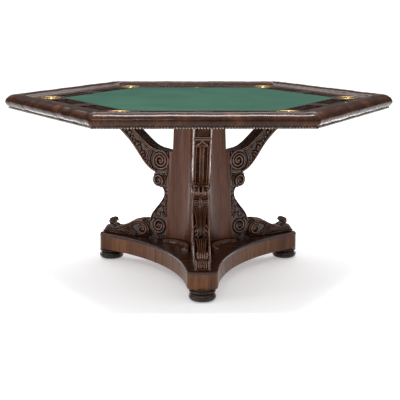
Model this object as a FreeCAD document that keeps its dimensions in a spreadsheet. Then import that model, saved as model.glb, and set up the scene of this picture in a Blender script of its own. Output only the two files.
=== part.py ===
import FreeCAD, Part
import Sketcher
import math
import os

# A hexagonal gaming table on a carved three-legged pedestal, in millimetres.
# +Z is up, the floor is z = 0 and the pedestal's axis is the Z axis. One leg and one straight
# side of the top face -Y, so that two corners of the top lie on the X axis. Radial sizes of the
# top are measured from the axis to the straight sides, square to them.

LEGS = {"front": -90, "right": 30, "left": 150}
FACES = {"right": -30, "rear": 90, "left": 210}
SIDES = {
    "front": -90,
    "front_right": -30,
    "rear_right": 30,
    "rear": 90,
    "rear_left": 150,
    "front_left": 210,
}
CORNERS = {
    "right": 0,
    "rear_right": 60,
    "rear_left": 120,
    "left": 180,
    "front_left": 240,
    "front_right": 300,
}

SIZES = {
    # heights of the top, from the pedestal up
    "bearer_bottom": 700,
    "substrate_bottom": 722,
    "corner_clip": 596,
    "cup_slot_wide": 80,
    "deck_bottom": 741,
    "deck_top": 760,
    "rail_bottom": 716,
    "rail_core_top": 748,
    "rail_top": 768,
    # distances from the axis to the sides of the top
    "rail_outer": 719,
    "rail_foot": 706,
    "rail_core_outer": 696,
    "rail_inner": 636,
    "recess_edge": 500.3,
    "board_edge": 498.5,
    # lift-out playing panel
    "board_lift": 0.2,
    "board_thick": 17.3,
    "cloth_thick": 2,
    "pull_radius": 10,
    # nail trim along the foot of the rail
    "nail_strip_thick": 2.5,
    "nail_strip_rise": 0.5,
    "nail_strip_tall": 6,
    # chip trays, two to a side, two troughs in each
    "tray_middle": 548,
    "tray_wide": 88,
    "tray_long": 218,
    "tray_offset": 136,
    "trough_radius": 20.5,
    "trough_drop": 15,
    "trough_pitch": 41,
    "trough_long": 206,
    # drink cups at the corners
    "cup_circle": 635,
    "cup_radius": 37.5,
    "cup_wall": 1.5,
    "cup_rim_radius": 44,
    "cup_rim_thick": 2,
    "cup_rim_clear": 0.05,
    "cup_round": 4,
    "cup_bottom": 700,
    "cup_hole_radius": 38.5,
    # bearers and fixings under the top
    "bearer_inner": 118.5,
    "bearer_outer": 500,
    "bearer_wide": 78,
    "screw_radius": 2.25,
    "screw_head_radius": 4.5,
    "screw_head_tall": 3,
    "screw_top": 736,
    "screw_first": 180,
    "screw_pitch": 140,
    "cap_radius": 118,
    "rod_radius": 6,
    "rod_hole_radius": 7,
    "rod_bottom": 55,
    "rod_top": 721,
    "nut_corner": 11,
    "nut_tall": 8,
    "washer_radius": 16,
    "washer_thick": 2.5,
    "nut_recess_radius": 18,
    "nut_recess_deep": 12,
    "low_recess_deep": 14,
    "tool_overrun": 5,
    # column
    "column_bottom": 125,
    "foot_vertex": 128.5,
    "head_vertex": 102.5,
    "vertex_half_width": 41,
    "foot_waist": 61,
    "head_waist": 50,
    "hollow_corner": 62,
    "stile_thick": 19,
    "stile_wide": 78,
    "stile_top": 525,
    # carved brackets
    "bracket_wide": 72,
    "toe_wide": 64,
    "curl_wide": 44,
    # plinth
    "plinth_bottom": 52,
    "plinth_step": 113,
    "plinth_waist": 203,
    "plinth_tip": 498,
    "plinth_hollow_radius": 850,
    "plinth_corner_radius": 34,
    "plinth_edge_radius": 7,
    "plinth_inset": 2,
    # bead moulding round the foot of the column
    "bead_clear": 0.3,
    "bead_wide": 32,
    "bead_tall": 16,
    "bead_half_turn": 60,
    # bun feet
    "foot_circle": 461,
    "foot_radius": 55,
    "foot_round": 4,
    "foot_waist_radius": 46,
    "foot_collar_radius": 54,
    "foot_collar_round": 2,
    "foot_sole_radius": 38,
    "foot_sole": 3,
    "foot_bun_top": 33,
    "foot_collar_bottom": 37,
    "foot_collar_top": 47,
    "stud_radius": 5,
    "stud_bottom": 20,
    "stud_top": 95,
    "glide_radius": 16,
}

doc = FreeCAD.newDocument("gaming_table")
sheet = doc.addObject("Spreadsheet::Sheet", "Sizes")
for row, (alias, number) in enumerate(SIZES.items(), start=1):
    sheet.set(f"A{row}", alias)
    sheet.set(f"B{row}", str(number))
    sheet.setAlias(f"B{row}", alias)
doc.recompute()

Z_AXIS = FreeCAD.Vector(0, 0, 1)
sub_parts = []


def size(alias):
    """The number that the sheet holds under an alias."""
    return float(sheet.get(alias))


def turn(degrees):
    """A placement turned about the table's axis."""
    return FreeCAD.Placement(FreeCAD.Vector(), FreeCAD.Rotation(Z_AXIS, degrees))


def sub_part(obj, label):
    """Marks an object as one of the table's pieces, under its own name."""
    obj.Label = label
    sub_parts.append(obj)
    return obj


def bound(kind, name, placement=None, **expressions):
    """A document object whose properties follow the sheet. A base_z expression sets its height."""
    obj = doc.addObject(kind, name)
    if placement:
        obj.Placement = placement
    if "base_z" in expressions:
        obj.setExpression(".Placement.Base.z", expressions.pop("base_z"))
    for prop, expression in expressions.items():
        obj.setExpression(prop, expression)
    return obj


def cylinder(name, radius, low, high, placement=None, angle=None):
    """An upright cylinder between two heights, given as expressions."""
    obj = bound("Part::Cylinder", name, placement, Radius=radius, Height=f"({high}) - ({low})", base_z=low)
    if angle:
        obj.Angle = angle
    return obj


def hexagon(name, to_side, low, high):
    """A hexagonal slab with corners on the X axis, given the distance from its axis to its sides."""
    obj = bound(
        "Part::Prism",
        name,
        Circumradius=f"({to_side}) / cos(30deg)",
        Height=f"({high}) - ({low})",
        base_z=low,
    )
    obj.Polygon = 6
    return obj


def boolean(kind, name, base, tool, placement=None):
    """A cut or common of two objects."""
    obj = doc.addObject(kind, name)
    obj.Base = base
    obj.Tool = tool
    if placement:
        obj.Placement = placement
    return obj


def cut(name, base, tool, placement=None):
    return boolean("Part::Cut", name, base, tool, placement)


def common(name, base, tool, placement=None):
    return boolean("Part::Common", name, base, tool, placement)


def fused(name, shapes):
    obj = doc.addObject("Part::MultiFuse", name)
    obj.Shapes = shapes
    return obj


def group(name, members, placement=None):
    """Separate solids that share one node."""
    obj = doc.addObject("Part::Compound", name)
    obj.Links = members
    if placement:
        obj.Placement = placement
    return obj


def box(name, low_x, high_x, low_y, high_y, low_z, high_z):
    """A block between two corners, given as expressions."""
    obj = doc.addObject("Part::Box", name)
    obj.setExpression("Length", f"({high_x}) - ({low_x})")
    obj.setExpression("Width", f"({high_y}) - ({low_y})")
    obj.setExpression("Height", f"({high_z}) - ({low_z})")
    for axis, low in zip("xyz", (low_x, low_y, low_z)):
        obj.setExpression(f".Placement.Base.{axis}", low)
    return obj


def at(circle, azimuth):
    """A placement on a circle round the axis, with its radius kept in the sheet."""
    place = turn(azimuth)
    place.Base = place.Rotation.multVec(FreeCAD.Vector(size(circle), 0, 0))
    return place


def polygon_sketch(owner, name, points):
    """A closed outline of straight runs whose corners are expressions, each held by constraints."""
    sketch = owner.newObject("Sketcher::SketchObject", name) if owner else doc.addObject(
        "Sketcher::SketchObject", name
    )
    corners = [FreeCAD.Vector(i + 1, (i * i) % 7 + 1, 0) for i in range(len(points))]
    for start, end in zip(corners, corners[1:] + corners[:1]):
        sketch.addGeometry(Part.LineSegment(start, end))
    count = len(points)
    for i in range(count):
        sketch.addConstraint(Sketcher.Constraint("Coincident", i, 2, (i + 1) % count, 1))
    for i, corner in enumerate(points):
        for kind, expression in zip(("DistanceX", "DistanceY"), corner):
            index = sketch.addConstraint(Sketcher.Constraint(kind, -1, 1, i, 1, 1.0))
            sketch.setExpression(f"Constraints[{index}]", expression)
    return sketch


def turned_body(name, placement, points):
    """A body turned about its own upright axis from an outline of (radius, height) expressions."""
    body = doc.addObject("PartDesign::Body", name)
    sketch = polygon_sketch(body, f"{name}_outline", points)
    plane = next(f for f in body.Origin.OriginFeatures if f.Role == "XZ_Plane")
    sketch.AttachmentSupport = [(plane, "")]
    sketch.MapMode = "FlatFace"
    doc.recompute()
    turned = body.newObject("PartDesign::Revolution", f"{name}_turned")
    turned.Profile = sketch
    turned.ReferenceAxis = (sketch, ["V_Axis"])
    turned.Angle = 360
    body.Tip = turned
    body.Placement = placement
    return body


def side_bar(name, points):
    """A long bar for the front side, from an outline of (distance from axis, height) expressions."""
    sketch = polygon_sketch(None, f"{name}_outline", points)
    outward, up = FreeCAD.Vector(0, -1, 0), Z_AXIS
    sketch.Placement = FreeCAD.Placement(
        FreeCAD.Vector(), FreeCAD.Rotation(outward, up, outward.cross(up), "XYZ")
    )
    bar = doc.addObject("Part::Extrusion", name)
    bar.Base = sketch
    bar.DirMode = "Normal"
    bar.Symmetric = True
    bar.Solid = True
    bar.setExpression("LengthFwd", "Sizes.rail_outer * 2")
    return bar


def smooth(points):
    """A smooth curve through (across, up) points, in the XZ plane."""
    curve = Part.BSplineCurve()
    curve.interpolate([FreeCAD.Vector(x, 0, z) for x, z in points])
    return curve.toShape()


def straight(*points):
    """Straight runs through (across, up) points, in the XZ plane."""
    corners = [FreeCAD.Vector(x, 0, z) for x, z in points]
    return [Part.LineSegment(a, b).toShape() for a, b in zip(corners, corners[1:])]


def slab(edges, width):
    """A closed outline in the XZ plane, made solid to half the width on each side of it."""
    face = Part.Face(Part.Wire(Part.__sortEdges__(edges)))
    return face.translated(FreeCAD.Vector(0, -width / 2, 0)).extrude(FreeCAD.Vector(0, width, 0))


def shaped(name, shape, placement=None):
    """A piece whose shape is free-form, so that no primitive or sketch fits it."""
    obj = doc.addObject("Part::Feature", name)
    obj.Shape = shape
    if placement:
        obj.Placement = placement
    return obj


# --- Base: bun feet, plinth -----------------------------------------------------------------

FOOT_OUTLINE = [
    ("Sizes.stud_radius", "Sizes.foot_sole"),
    ("Sizes.foot_sole_radius", "Sizes.foot_sole"),
    ("Sizes.foot_radius - Sizes.foot_round", "Sizes.foot_sole + Sizes.foot_round"),
    ("Sizes.foot_radius", "(Sizes.foot_sole + Sizes.foot_bun_top) / 2"),
    ("Sizes.foot_radius - Sizes.foot_round", "Sizes.foot_bun_top - Sizes.foot_round"),
    ("Sizes.foot_waist_radius", "Sizes.foot_bun_top"),
    ("Sizes.foot_waist_radius", "Sizes.foot_collar_bottom"),
    ("Sizes.foot_collar_radius", "Sizes.foot_collar_bottom + Sizes.foot_collar_round"),
    ("Sizes.foot_collar_radius", "Sizes.foot_collar_top - Sizes.foot_collar_round"),
    ("Sizes.foot_waist_radius", "Sizes.foot_collar_top"),
    ("Sizes.foot_waist_radius", "Sizes.plinth_bottom"),
    ("Sizes.stud_radius", "Sizes.plinth_bottom"),
]
for leg, azimuth in LEGS.items():
    foot = turned_body(f"Foot_{leg}", at("foot_circle", azimuth), FOOT_OUTLINE)
    sub_part(foot, f"bun_foot_{leg}")

glides = []
studs = []
for leg, azimuth in LEGS.items():
    place = at("foot_circle", azimuth)
    glides.append(cylinder(f"Glide_{leg}", "Sizes.glide_radius", "0", "Sizes.foot_sole", place))
    studs.append(cylinder(f"Stud_{leg}", "Sizes.stud_radius", "Sizes.stud_bottom", "Sizes.stud_top", place))
sub_part(group("Glides", glides), "foot_glides")
sub_part(group("Studs", studs), "foot_studs")


def plinth_slab(name, low, high, inset, edge_radius):
    """A three-pointed slab with hollow sides and rounded points, and maybe a rounded top edge."""
    blank = bound(
        "Part::Prism",
        f"{name}_blank",
        turn(90),
        Circumradius=f"(Sizes.plinth_tip - {inset}) * 2",
        Height=f"({high}) - ({low})",
        base_z=low,
    )
    blank.Polygon = 3
    hollows = []
    for face, azimuth in FACES.items():
        centre = size("plinth_waist") - inset + size("plinth_hollow_radius")
        place = turn(azimuth)
        place.Base = place.Rotation.multVec(FreeCAD.Vector(centre, 0, 0))
        hollows.append(cylinder(f"{name}_hollow_{face}", "Sizes.plinth_hollow_radius", low, high, place))
    star = cut(f"{name}_star", blank, fused(f"{name}_hollows", hollows))
    doc.recompute()
    rounded = doc.addObject("Part::Fillet", f"{name}_points")
    rounded.Base = star
    radius = size("plinth_corner_radius")
    rounded.Edges = [
        (number, radius, radius)
        for number, edge in enumerate(star.Shape.Edges, start=1)
        if abs(edge.tangentAt(edge.FirstParameter).z) > 0.9
    ]
    doc.recompute()
    if not edge_radius:
        return rounded
    edged = doc.addObject("Part::Fillet", f"{name}_edge")
    edged.Base = rounded
    top = rounded.Shape.BoundBox.ZMax
    edged.Edges = [
        (number, edge_radius, edge_radius)
        for number, edge in enumerate(rounded.Shape.Edges, start=1)
        if edge.BoundBox.ZMin > top - 0.01
    ]
    doc.recompute()
    return edged


below_plinth = "Sizes.plinth_bottom - Sizes.tool_overrun"
low_recess_top = "Sizes.plinth_bottom + Sizes.low_recess_deep"
rod_hole = cylinder("Rod_hole", "Sizes.rod_hole_radius", below_plinth, "Sizes.deck_bottom")
low_recess = cylinder("Low_recess", "Sizes.nut_recess_radius", below_plinth, low_recess_top)
plinth_base = plinth_slab("Plinth", "Sizes.plinth_bottom", "Sizes.plinth_step", size("plinth_inset"), 0)
plinth_tools = fused("Plinth_holes", [rod_hole, low_recess, group("Stud_holes", studs)])
sub_part(cut("Plinth_base", plinth_base, plinth_tools), "plinth_base")
plinth_board = plinth_slab(
    "Board", "Sizes.plinth_step", "Sizes.column_bottom", 0, size("plinth_edge_radius")
)
sub_part(cut("Plinth_board", plinth_board, rod_hole), "plinth_top_board")

# --- Column: three hollow-faced panels round a tie rod ----------------------------------------


def column_section(vertex, waist, height):
    """A three-pointed section with flat-ended points at the legs and hollow sides between them."""
    half = size("vertex_half_width")
    corners = []
    for azimuth in LEGS.values():
        place = turn(azimuth)
        corners.append([place.multVec(FreeCAD.Vector(vertex, t, height)) for t in (-half, half)])
    edges = []
    for i, (start, end) in enumerate(corners):
        following = corners[(i + 1) % 3][0]
        middle = (end + following) / 2
        middle.z = 0
        middle = middle.normalize() * waist + Z_AXIS * height
        edges.append(Part.LineSegment(start, end).toShape())
        edges.append(Part.Arc(end, middle, following).toShape())
    return Part.Wire(edges)


column_loft = Part.makeLoft(
    [
        column_section(size("foot_vertex"), size("foot_waist"), size("column_bottom")),
        column_section(size("head_vertex"), size("head_waist"), size("bearer_bottom")),
    ],
    True,
    True,
)
hollow = bound(
    "Part::Prism",
    "Column_hollow",
    turn(-90),
    Circumradius="Sizes.hollow_corner",
    Height="Sizes.bearer_bottom - Sizes.column_bottom",
    base_z="Sizes.column_bottom",
)
hollow.Polygon = 3
column_shell = cut("Column_shell", shaped("Column_block", column_loft), hollow)
panel_sector = cylinder(
    "Panel_sector", "Sizes.plinth_waist", "Sizes.column_bottom", "Sizes.bearer_bottom", turn(-90), 120
)
for face, azimuth in FACES.items():
    panel = common(f"Panel_{face}", column_shell, panel_sector, turn(azimuth + 30))
    sub_part(panel, f"column_panel_{face}")


def face_line(height):
    """How far the legs' flat column faces stand from the axis at a height."""
    share = (height - size("column_bottom")) / (size("bearer_bottom") - size("column_bottom"))
    return size("foot_vertex") + share * (size("head_vertex") - size("foot_vertex"))


def stile_line(height):
    """How far the stiles' outer faces stand from the axis at a height."""
    return face_line(height) + size("stile_thick")


stile_low, stile_high = size("column_bottom"), size("stile_top")
stile_shape = slab(
    straight(
        (face_line(stile_low), stile_low),
        (stile_line(stile_low), stile_low),
        (stile_line(stile_high), stile_high),
        (face_line(stile_high), stile_high),
        (face_line(stile_low), stile_low),
    ),
    size("stile_wide"),
)
for leg, azimuth in LEGS.items():
    sub_part(shaped(f"Stile_{leg}", stile_shape, turn(azimuth)), f"bracket_stile_{leg}")

# Each (out, up) point below is a place on a carved bracket's outline, out from the table's axis.
# --- Upper arm: springs from the stile, ends in a volute below and runs out under the top ------

arm_foot = 424
arm_head = size("bearer_bottom")
ARM_INSIDE = [
    (stile_line(stile_high), stile_high),
    (187, 529),
    (232, 547),
    (301, 602),
    (352, 648),
    (412, arm_head),
]
ARM_OUTSIDE = [
    (490, arm_head),
    (440, 650),
    (388, 603),
    (332, 552),
    (283, 490),
    (242, 446),
    (200, arm_foot),
]
arm_shape = slab(
    [smooth(ARM_INSIDE), smooth(ARM_OUTSIDE)]
    + straight(ARM_INSIDE[-1], ARM_OUTSIDE[0])
    + straight(ARM_OUTSIDE[-1], (stile_line(arm_foot), arm_foot), ARM_INSIDE[0]),
    size("bracket_wide"),
)

# --- Leg scroll: a ball scroll, a neck and a volute that stands on the plinth ------------------

ball_centre, ball_radius = (190, 392), 30
volute_centre, volute_radius = (187, 188), 44


def on_circle(centre, radius, degrees):
    """A point on a circle in the bracket's plane."""
    turned = math.radians(degrees)
    return (centre[0] + radius * math.cos(turned), centre[1] + radius * math.sin(turned))


def arc(centre, radius, *degrees):
    """An arc through three directions from its centre."""
    points = [on_circle(centre, radius, d) for d in degrees]
    return Part.Arc(*[FreeCAD.Vector(x, 0, z) for x, z in points]).toShape()


scroll_top = arm_foot - 0.5
ball_start, ball_end = on_circle(ball_centre, ball_radius, 75), on_circle(ball_centre, ball_radius, -110)
volute_start = on_circle(volute_centre, volute_radius, 25)
volute_end = on_circle(volute_centre, volute_radius, -65)
plinth_top = size("column_bottom")
NECK = [ball_end, (161, 360), (153, 335), (178, 285), (216, 238), volute_start]
scroll_shape = slab(
    [
        arc(ball_centre, ball_radius, 75, 0, -110),
        smooth(NECK),
        arc(volute_centre, volute_radius, 25, -20, -65),
    ]
    + straight((ball_start[0], scroll_top), ball_start)
    + straight(
        volute_end,
        (volute_end[0], plinth_top),
        (stile_line(plinth_top), plinth_top),
        (stile_line(scroll_top), scroll_top),
        (ball_start[0], scroll_top),
    ),
    size("bracket_wide"),
)

# --- Plinth scroll: lies on the plinth, and ends in a leafy toe with a narrow upright curl ------

heel_centre, heel_radius = (272.5, 166), 41
heel_start, heel_end = on_circle(heel_centre, heel_radius, 90), on_circle(heel_centre, heel_radius, 235)
BACK = [heel_start, (300, 204), (323, 197), (345, 184), (368, 173), (392, 163), (420, 157)]
TOE = [BACK[-1], (446, 165), (464, 161), (478, 146), (487, 130)]
CURL = [(432, 155), (436, 168), (430, 180), (436, 190), (447, 193), (457, 187), (461, 175), (460, 163)]
inner_end, curl_foot = 404, 150
scroll_body = slab(
    [arc(heel_centre, heel_radius, 90, 170, 235), smooth(BACK)]
    + straight(BACK[-1], (BACK[-1][0], plinth_top), (heel_end[0], plinth_top), heel_end),
    size("bracket_wide"),
)
leafy_toe = slab(
    [smooth(TOE)]
    + straight(TOE[-1], (TOE[-1][0], plinth_top), (inner_end, plinth_top), (inner_end, curl_foot), TOE[0]),
    size("toe_wide"),
)
upright_curl = slab(
    [smooth(CURL)] + straight(CURL[-1], (CURL[-1][0], curl_foot), (CURL[0][0], curl_foot), CURL[0]),
    size("curl_wide"),
)
plinth_scroll_shape = scroll_body.fuse([leafy_toe, upright_curl]).removeSplitter()
for leg, azimuth in LEGS.items():
    sub_part(shaped(f"Arm_{leg}", arm_shape, turn(azimuth)), f"arm_{leg}")
    sub_part(shaped(f"Scroll_{leg}", scroll_shape, turn(azimuth)), f"leg_scroll_{leg}")
    sub_part(shaped(f"Toe_{leg}", plinth_scroll_shape, turn(azimuth)), f"plinth_scroll_{leg}")

# --- Bead moulding: a bar on the plinth that follows each hollow face of the column -------------

half_chord = size("foot_vertex") * math.sin(math.radians(60)) - size("vertex_half_width") / 2
chord_height = size("foot_vertex") / 2 + size("vertex_half_width") * math.cos(math.radians(30))
sagitta = chord_height - size("foot_waist")
hollow_radius = (half_chord**2 + sagitta**2) / (2 * sagitta)
beads = []
for face, azimuth in FACES.items():
    place = turn(azimuth)
    place.Base = place.Rotation.multVec(FreeCAD.Vector(size("foot_waist") + hollow_radius, 0, 0))
    sector_place = FreeCAD.Placement(place)
    sector_place.Rotation = FreeCAD.Rotation(Z_AXIS, azimuth + 180 - size("bead_half_turn"))
    top = "Sizes.column_bottom + Sizes.bead_tall"
    outer = cylinder(
        f"Bead_outer_{face}",
        f"{hollow_radius} - Sizes.bead_clear",
        "Sizes.column_bottom",
        top,
        sector_place,
        2 * size("bead_half_turn"),
    )
    inner = cylinder(
        f"Bead_inner_{face}", f"{hollow_radius} - Sizes.bead_wide", "Sizes.column_bottom", top, place
    )
    beads.append(cut(f"Bead_{face}", outer, inner))
sub_part(group("Beads", beads), "bead_mouldings")

# --- Tie rod, cap plate, bearers and their screws -----------------------------------------------

high_recess = cylinder(
    "High_recess",
    "Sizes.nut_recess_radius",
    "Sizes.substrate_bottom - Sizes.nut_recess_deep",
    "Sizes.deck_bottom",
)
cap_blank = cylinder("Cap_blank", "Sizes.cap_radius", "Sizes.bearer_bottom", "Sizes.substrate_bottom")
sub_part(cut("Cap", cap_blank, fused("Cap_holes", [rod_hole, high_recess])), "column_cap_plate")
rod = cylinder("Rod", "Sizes.rod_radius", "Sizes.rod_bottom", "Sizes.rod_top")
sub_part(rod, "tie_rod")


def nut_and_washer(name, washer_low, nut_low):
    """A hexagon nut on the tie rod, and its washer."""
    washer = cylinder(
        f"{name}_washer", "Sizes.washer_radius", washer_low, f"{washer_low} + Sizes.washer_thick"
    )
    nut = bound(
        "Part::Prism",
        f"{name}_nut",
        Circumradius="Sizes.nut_corner",
        Height="Sizes.nut_tall",
        base_z=nut_low,
    )
    nut.Polygon = 6
    return [cut(f"{name}_{i}_bored", blank, rod) for i, blank in enumerate((washer, nut))]


low_washer = f"{low_recess_top} - Sizes.washer_thick"
high_washer = "Sizes.substrate_bottom - Sizes.nut_recess_deep"
fixings = nut_and_washer("Low", low_washer, f"{low_washer} - Sizes.nut_tall")
fixings += nut_and_washer("High", high_washer, f"{high_washer} + Sizes.washer_thick")
sub_part(group("Nuts", fixings), "tie_nuts_and_washers")

screws = []
for leg, azimuth in LEGS.items():
    for number in range(3):
        place = turn(azimuth)
        reach = size("screw_first") + number * size("screw_pitch")
        place.Base = place.Rotation.multVec(FreeCAD.Vector(reach, 0, 0))
        shank = cylinder(
            f"Shank_{leg}_{number}", "Sizes.screw_radius", "Sizes.bearer_bottom", "Sizes.screw_top", place
        )
        head = cylinder(
            f"Head_{leg}_{number}",
            "Sizes.screw_head_radius",
            "Sizes.bearer_bottom",
            "Sizes.bearer_bottom + Sizes.screw_head_tall",
            place,
        )
        screws.append(fused(f"Screw_{leg}_{number}", [shank, head]))
all_screws = sub_part(group("Screws", screws), "bearer_screws")
for leg, azimuth in LEGS.items():
    place = turn(azimuth)
    place.Base = place.Rotation.multVec(
        FreeCAD.Vector(size("bearer_inner"), -size("bearer_wide") / 2, 0)
    )
    batten = bound(
        "Part::Box",
        f"Batten_{leg}",
        place,
        Length="Sizes.bearer_outer - Sizes.bearer_inner",
        Width="Sizes.bearer_wide",
        Height="Sizes.substrate_bottom - Sizes.bearer_bottom",
        base_z="Sizes.bearer_bottom",
    )
    sub_part(cut(f"Bearer_{leg}", batten, all_screws), f"top_bearer_{leg}")

# --- Top: substrate, border, chip trays, cups ---------------------------------------------------

# The substrate is a twelve-sided board with two blocks at each corner. The drink cup hangs in the
# slot between the blocks.
substrate_blank = hexagon(
    "Substrate_blank", "Sizes.rail_inner", "Sizes.substrate_bottom", "Sizes.deck_bottom"
)
corner_clip = hexagon("Corner_clip", "Sizes.corner_clip", "Sizes.substrate_bottom", "Sizes.deck_bottom")
corner_clip.Placement = turn(30)
corner_clip.setExpression(".Placement.Base.z", "Sizes.substrate_bottom")
slots = []
for number in range(3):
    slot = box(
        f"Cup_slot_{number}",
        "-Sizes.rail_outer * 2",
        "Sizes.rail_outer * 2",
        "-Sizes.cup_slot_wide / 2",
        "Sizes.cup_slot_wide / 2",
        "Sizes.substrate_bottom",
        "Sizes.deck_bottom",
    )
    slots.append(group(f"Cup_slot_turned_{number}", [slot], turn(60 * number)))
board = cut("Substrate_board", common("Board_blank", substrate_blank, corner_clip), all_screws)
blocks = cut("Corner_blocks", cut("Corners", substrate_blank, corner_clip), fused("Cup_slots", slots))
sub_part(group("Substrate", [board, blocks]), "substrate")

# Each side's border is an outer and an inner rail with three blocks between them, round the trays.
cup_holes = {
    corner: cylinder(
        f"Cup_hole_{corner}",
        "Sizes.cup_hole_radius",
        "Sizes.deck_bottom - Sizes.tool_overrun",
        "Sizes.deck_top + Sizes.tool_overrun",
        at("cup_circle", azimuth),
    )
    for corner, azimuth in CORNERS.items()
}
side_sector = cylinder(
    "Side_sector",
    "Sizes.rail_outer * 2",
    "Sizes.rail_bottom - Sizes.tool_overrun",
    "Sizes.rail_top + Sizes.tool_overrun",
    turn(-120),
    60,
)
deck_heights = ("Sizes.deck_bottom", "Sizes.deck_top")
border_outer = hexagon("Border_outer", "Sizes.rail_inner", *deck_heights)
border_inner = hexagon("Border_inner", "Sizes.recess_edge", *deck_heights)
border_side = common("Border_side", cut("Border_ring", border_outer, border_inner), side_sector)
tray_out = "-Sizes.tray_middle - Sizes.tray_wide / 2"
tray_in = "-Sizes.tray_middle + Sizes.tray_wide / 2"
tray_blanks = []
for hand, sign in (("left", -1), ("right", 1)):
    middle = f"{sign} * Sizes.tray_offset"
    low_x, high_x = f"{middle} - Sizes.tray_long / 2", f"{middle} + Sizes.tray_long / 2"
    tray_blanks.append(box(f"Tray_blank_{hand}", low_x, high_x, tray_out, tray_in, *deck_heights))
side_holes = fused("Side_holes", tray_blanks + [cup_holes["front_left"], cup_holes["front_right"]])
border_cut = cut("Border_cut", border_side, side_holes)
bands = []
for band, low_y, high_y in (
    ("outer", "-Sizes.rail_outer", tray_out),
    ("between", tray_out, tray_in),
    ("inner", tray_in, "0"),
):
    reach = box(f"Band_{band}", "-Sizes.rail_outer", "Sizes.rail_outer", low_y, high_y, *deck_heights)
    bands.append(common(f"Border_{band}", border_cut, reach))

troughs = []
lying = FreeCAD.Rotation(FreeCAD.Vector(0, 1, 0), 90)
for hand in (-1, 1):
    for step in (-1, 1):
        name = f"Trough_{'left' if hand < 0 else 'right'}_{'out' if step < 0 else 'in'}"
        trough = bound(
            "Part::Cylinder",
            name,
            FreeCAD.Placement(FreeCAD.Vector(), lying),
            Radius="Sizes.trough_radius",
            Height="Sizes.trough_long",
            base_z="Sizes.deck_top - Sizes.trough_drop + Sizes.trough_radius",
        )
        trough.setExpression(
            ".Placement.Base.x", f"{hand} * Sizes.tray_offset - Sizes.trough_long / 2"
        )
        trough.setExpression(
            ".Placement.Base.y", f"-Sizes.tray_middle + {step} * Sizes.trough_pitch / 2"
        )
        troughs.append(trough)
trough_tool = fused("Troughs", troughs)
tray_pair = group("Tray_pair", tray_blanks)
for side, azimuth in SIDES.items():
    place = turn(azimuth + 90)
    sub_part(group(f"Border_{side}_pieces", bands, place), f"border_{side}")
    sub_part(cut(f"Trays_{side}", tray_pair, trough_tool, place), f"chip_trays_{side}")

CUP_OUTLINE = [
    ("0", "Sizes.cup_bottom"),
    ("Sizes.cup_radius - Sizes.cup_round", "Sizes.cup_bottom"),
    ("Sizes.cup_radius", "Sizes.cup_bottom + Sizes.cup_round"),
    ("Sizes.cup_radius", "Sizes.deck_top + Sizes.cup_rim_clear"),
    ("Sizes.cup_rim_radius", "Sizes.deck_top + Sizes.cup_rim_clear"),
    ("Sizes.cup_rim_radius - Sizes.cup_wall", "Sizes.deck_top + Sizes.cup_rim_thick"),
    ("Sizes.cup_radius - Sizes.cup_wall", "Sizes.deck_top + Sizes.cup_rim_thick"),
    ("Sizes.cup_radius - Sizes.cup_wall", "Sizes.cup_bottom + Sizes.cup_round"),
    ("Sizes.cup_radius - Sizes.cup_round", "Sizes.cup_bottom + Sizes.cup_wall"),
    ("0", "Sizes.cup_bottom + Sizes.cup_wall"),
]
for corner, azimuth in CORNERS.items():
    cup = turned_body(f"Cup_{corner}", at("cup_circle", azimuth), CUP_OUTLINE)
    sub_part(cup, f"drink_cup_{corner}")

# --- Rail: wooden core, leather-covered pad and nail trim on each side --------------------------

core_bar = side_bar(
    "Core_bar",
    [
        ("Sizes.rail_inner", "Sizes.rail_bottom"),
        ("Sizes.rail_core_outer", "Sizes.rail_bottom"),
        ("Sizes.rail_core_outer", "Sizes.rail_core_top"),
        ("Sizes.rail_inner", "Sizes.rail_core_top"),
    ],
)
strip_bar = side_bar(
    "Strip_bar",
    [
        ("Sizes.rail_foot", "Sizes.rail_bottom + Sizes.nail_strip_rise"),
        ("Sizes.rail_foot + Sizes.nail_strip_thick", "Sizes.rail_bottom + Sizes.nail_strip_rise"),
        (
            "Sizes.rail_foot + Sizes.nail_strip_thick",
            "Sizes.rail_bottom + Sizes.nail_strip_rise + Sizes.nail_strip_tall",
        ),
        ("Sizes.rail_foot", "Sizes.rail_bottom + Sizes.nail_strip_rise + Sizes.nail_strip_tall"),
    ],
)
foot, core_outer, inner = size("rail_foot"), size("rail_core_outer"), size("rail_inner")
rail_low, core_top, deck_top = size("rail_bottom"), size("rail_core_top"), size("deck_top")
PAD_CROWN = [
    (foot, rail_low + 8),
    (714, 731),
    (size("rail_outer"), 743),
    (715, 756),
    (703, 765),
    (682, size("rail_top")),
    (658, 766),
    (inner, deck_top),
]
pad_section = slab(
    [smooth(PAD_CROWN)]
    + straight(
        PAD_CROWN[-1],
        (inner, core_top),
        (core_outer, core_top),
        (core_outer, rail_low),
        (foot, rail_low),
        PAD_CROWN[0],
    ),
    size("rail_outer") * 2,
)
pad_bar = shaped("Pad_bar", pad_section, turn(-90))
cores, strips = [], []
for side, azimuth in SIDES.items():
    place = turn(azimuth + 90)
    cores.append(common(f"Core_{side}", core_bar, side_sector, place))
    strips.append(common(f"Strip_{side}", strip_bar, side_sector, place))
    sub_part(common(f"Pad_{side}", pad_bar, side_sector, place), f"rail_pad_{side}")
sub_part(group("Cores", cores), "rail_frame")
sub_part(group("Strips", strips), "nail_trim")

# --- Playing panel: a cloth-covered board that lifts out of the border --------------------------

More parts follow.
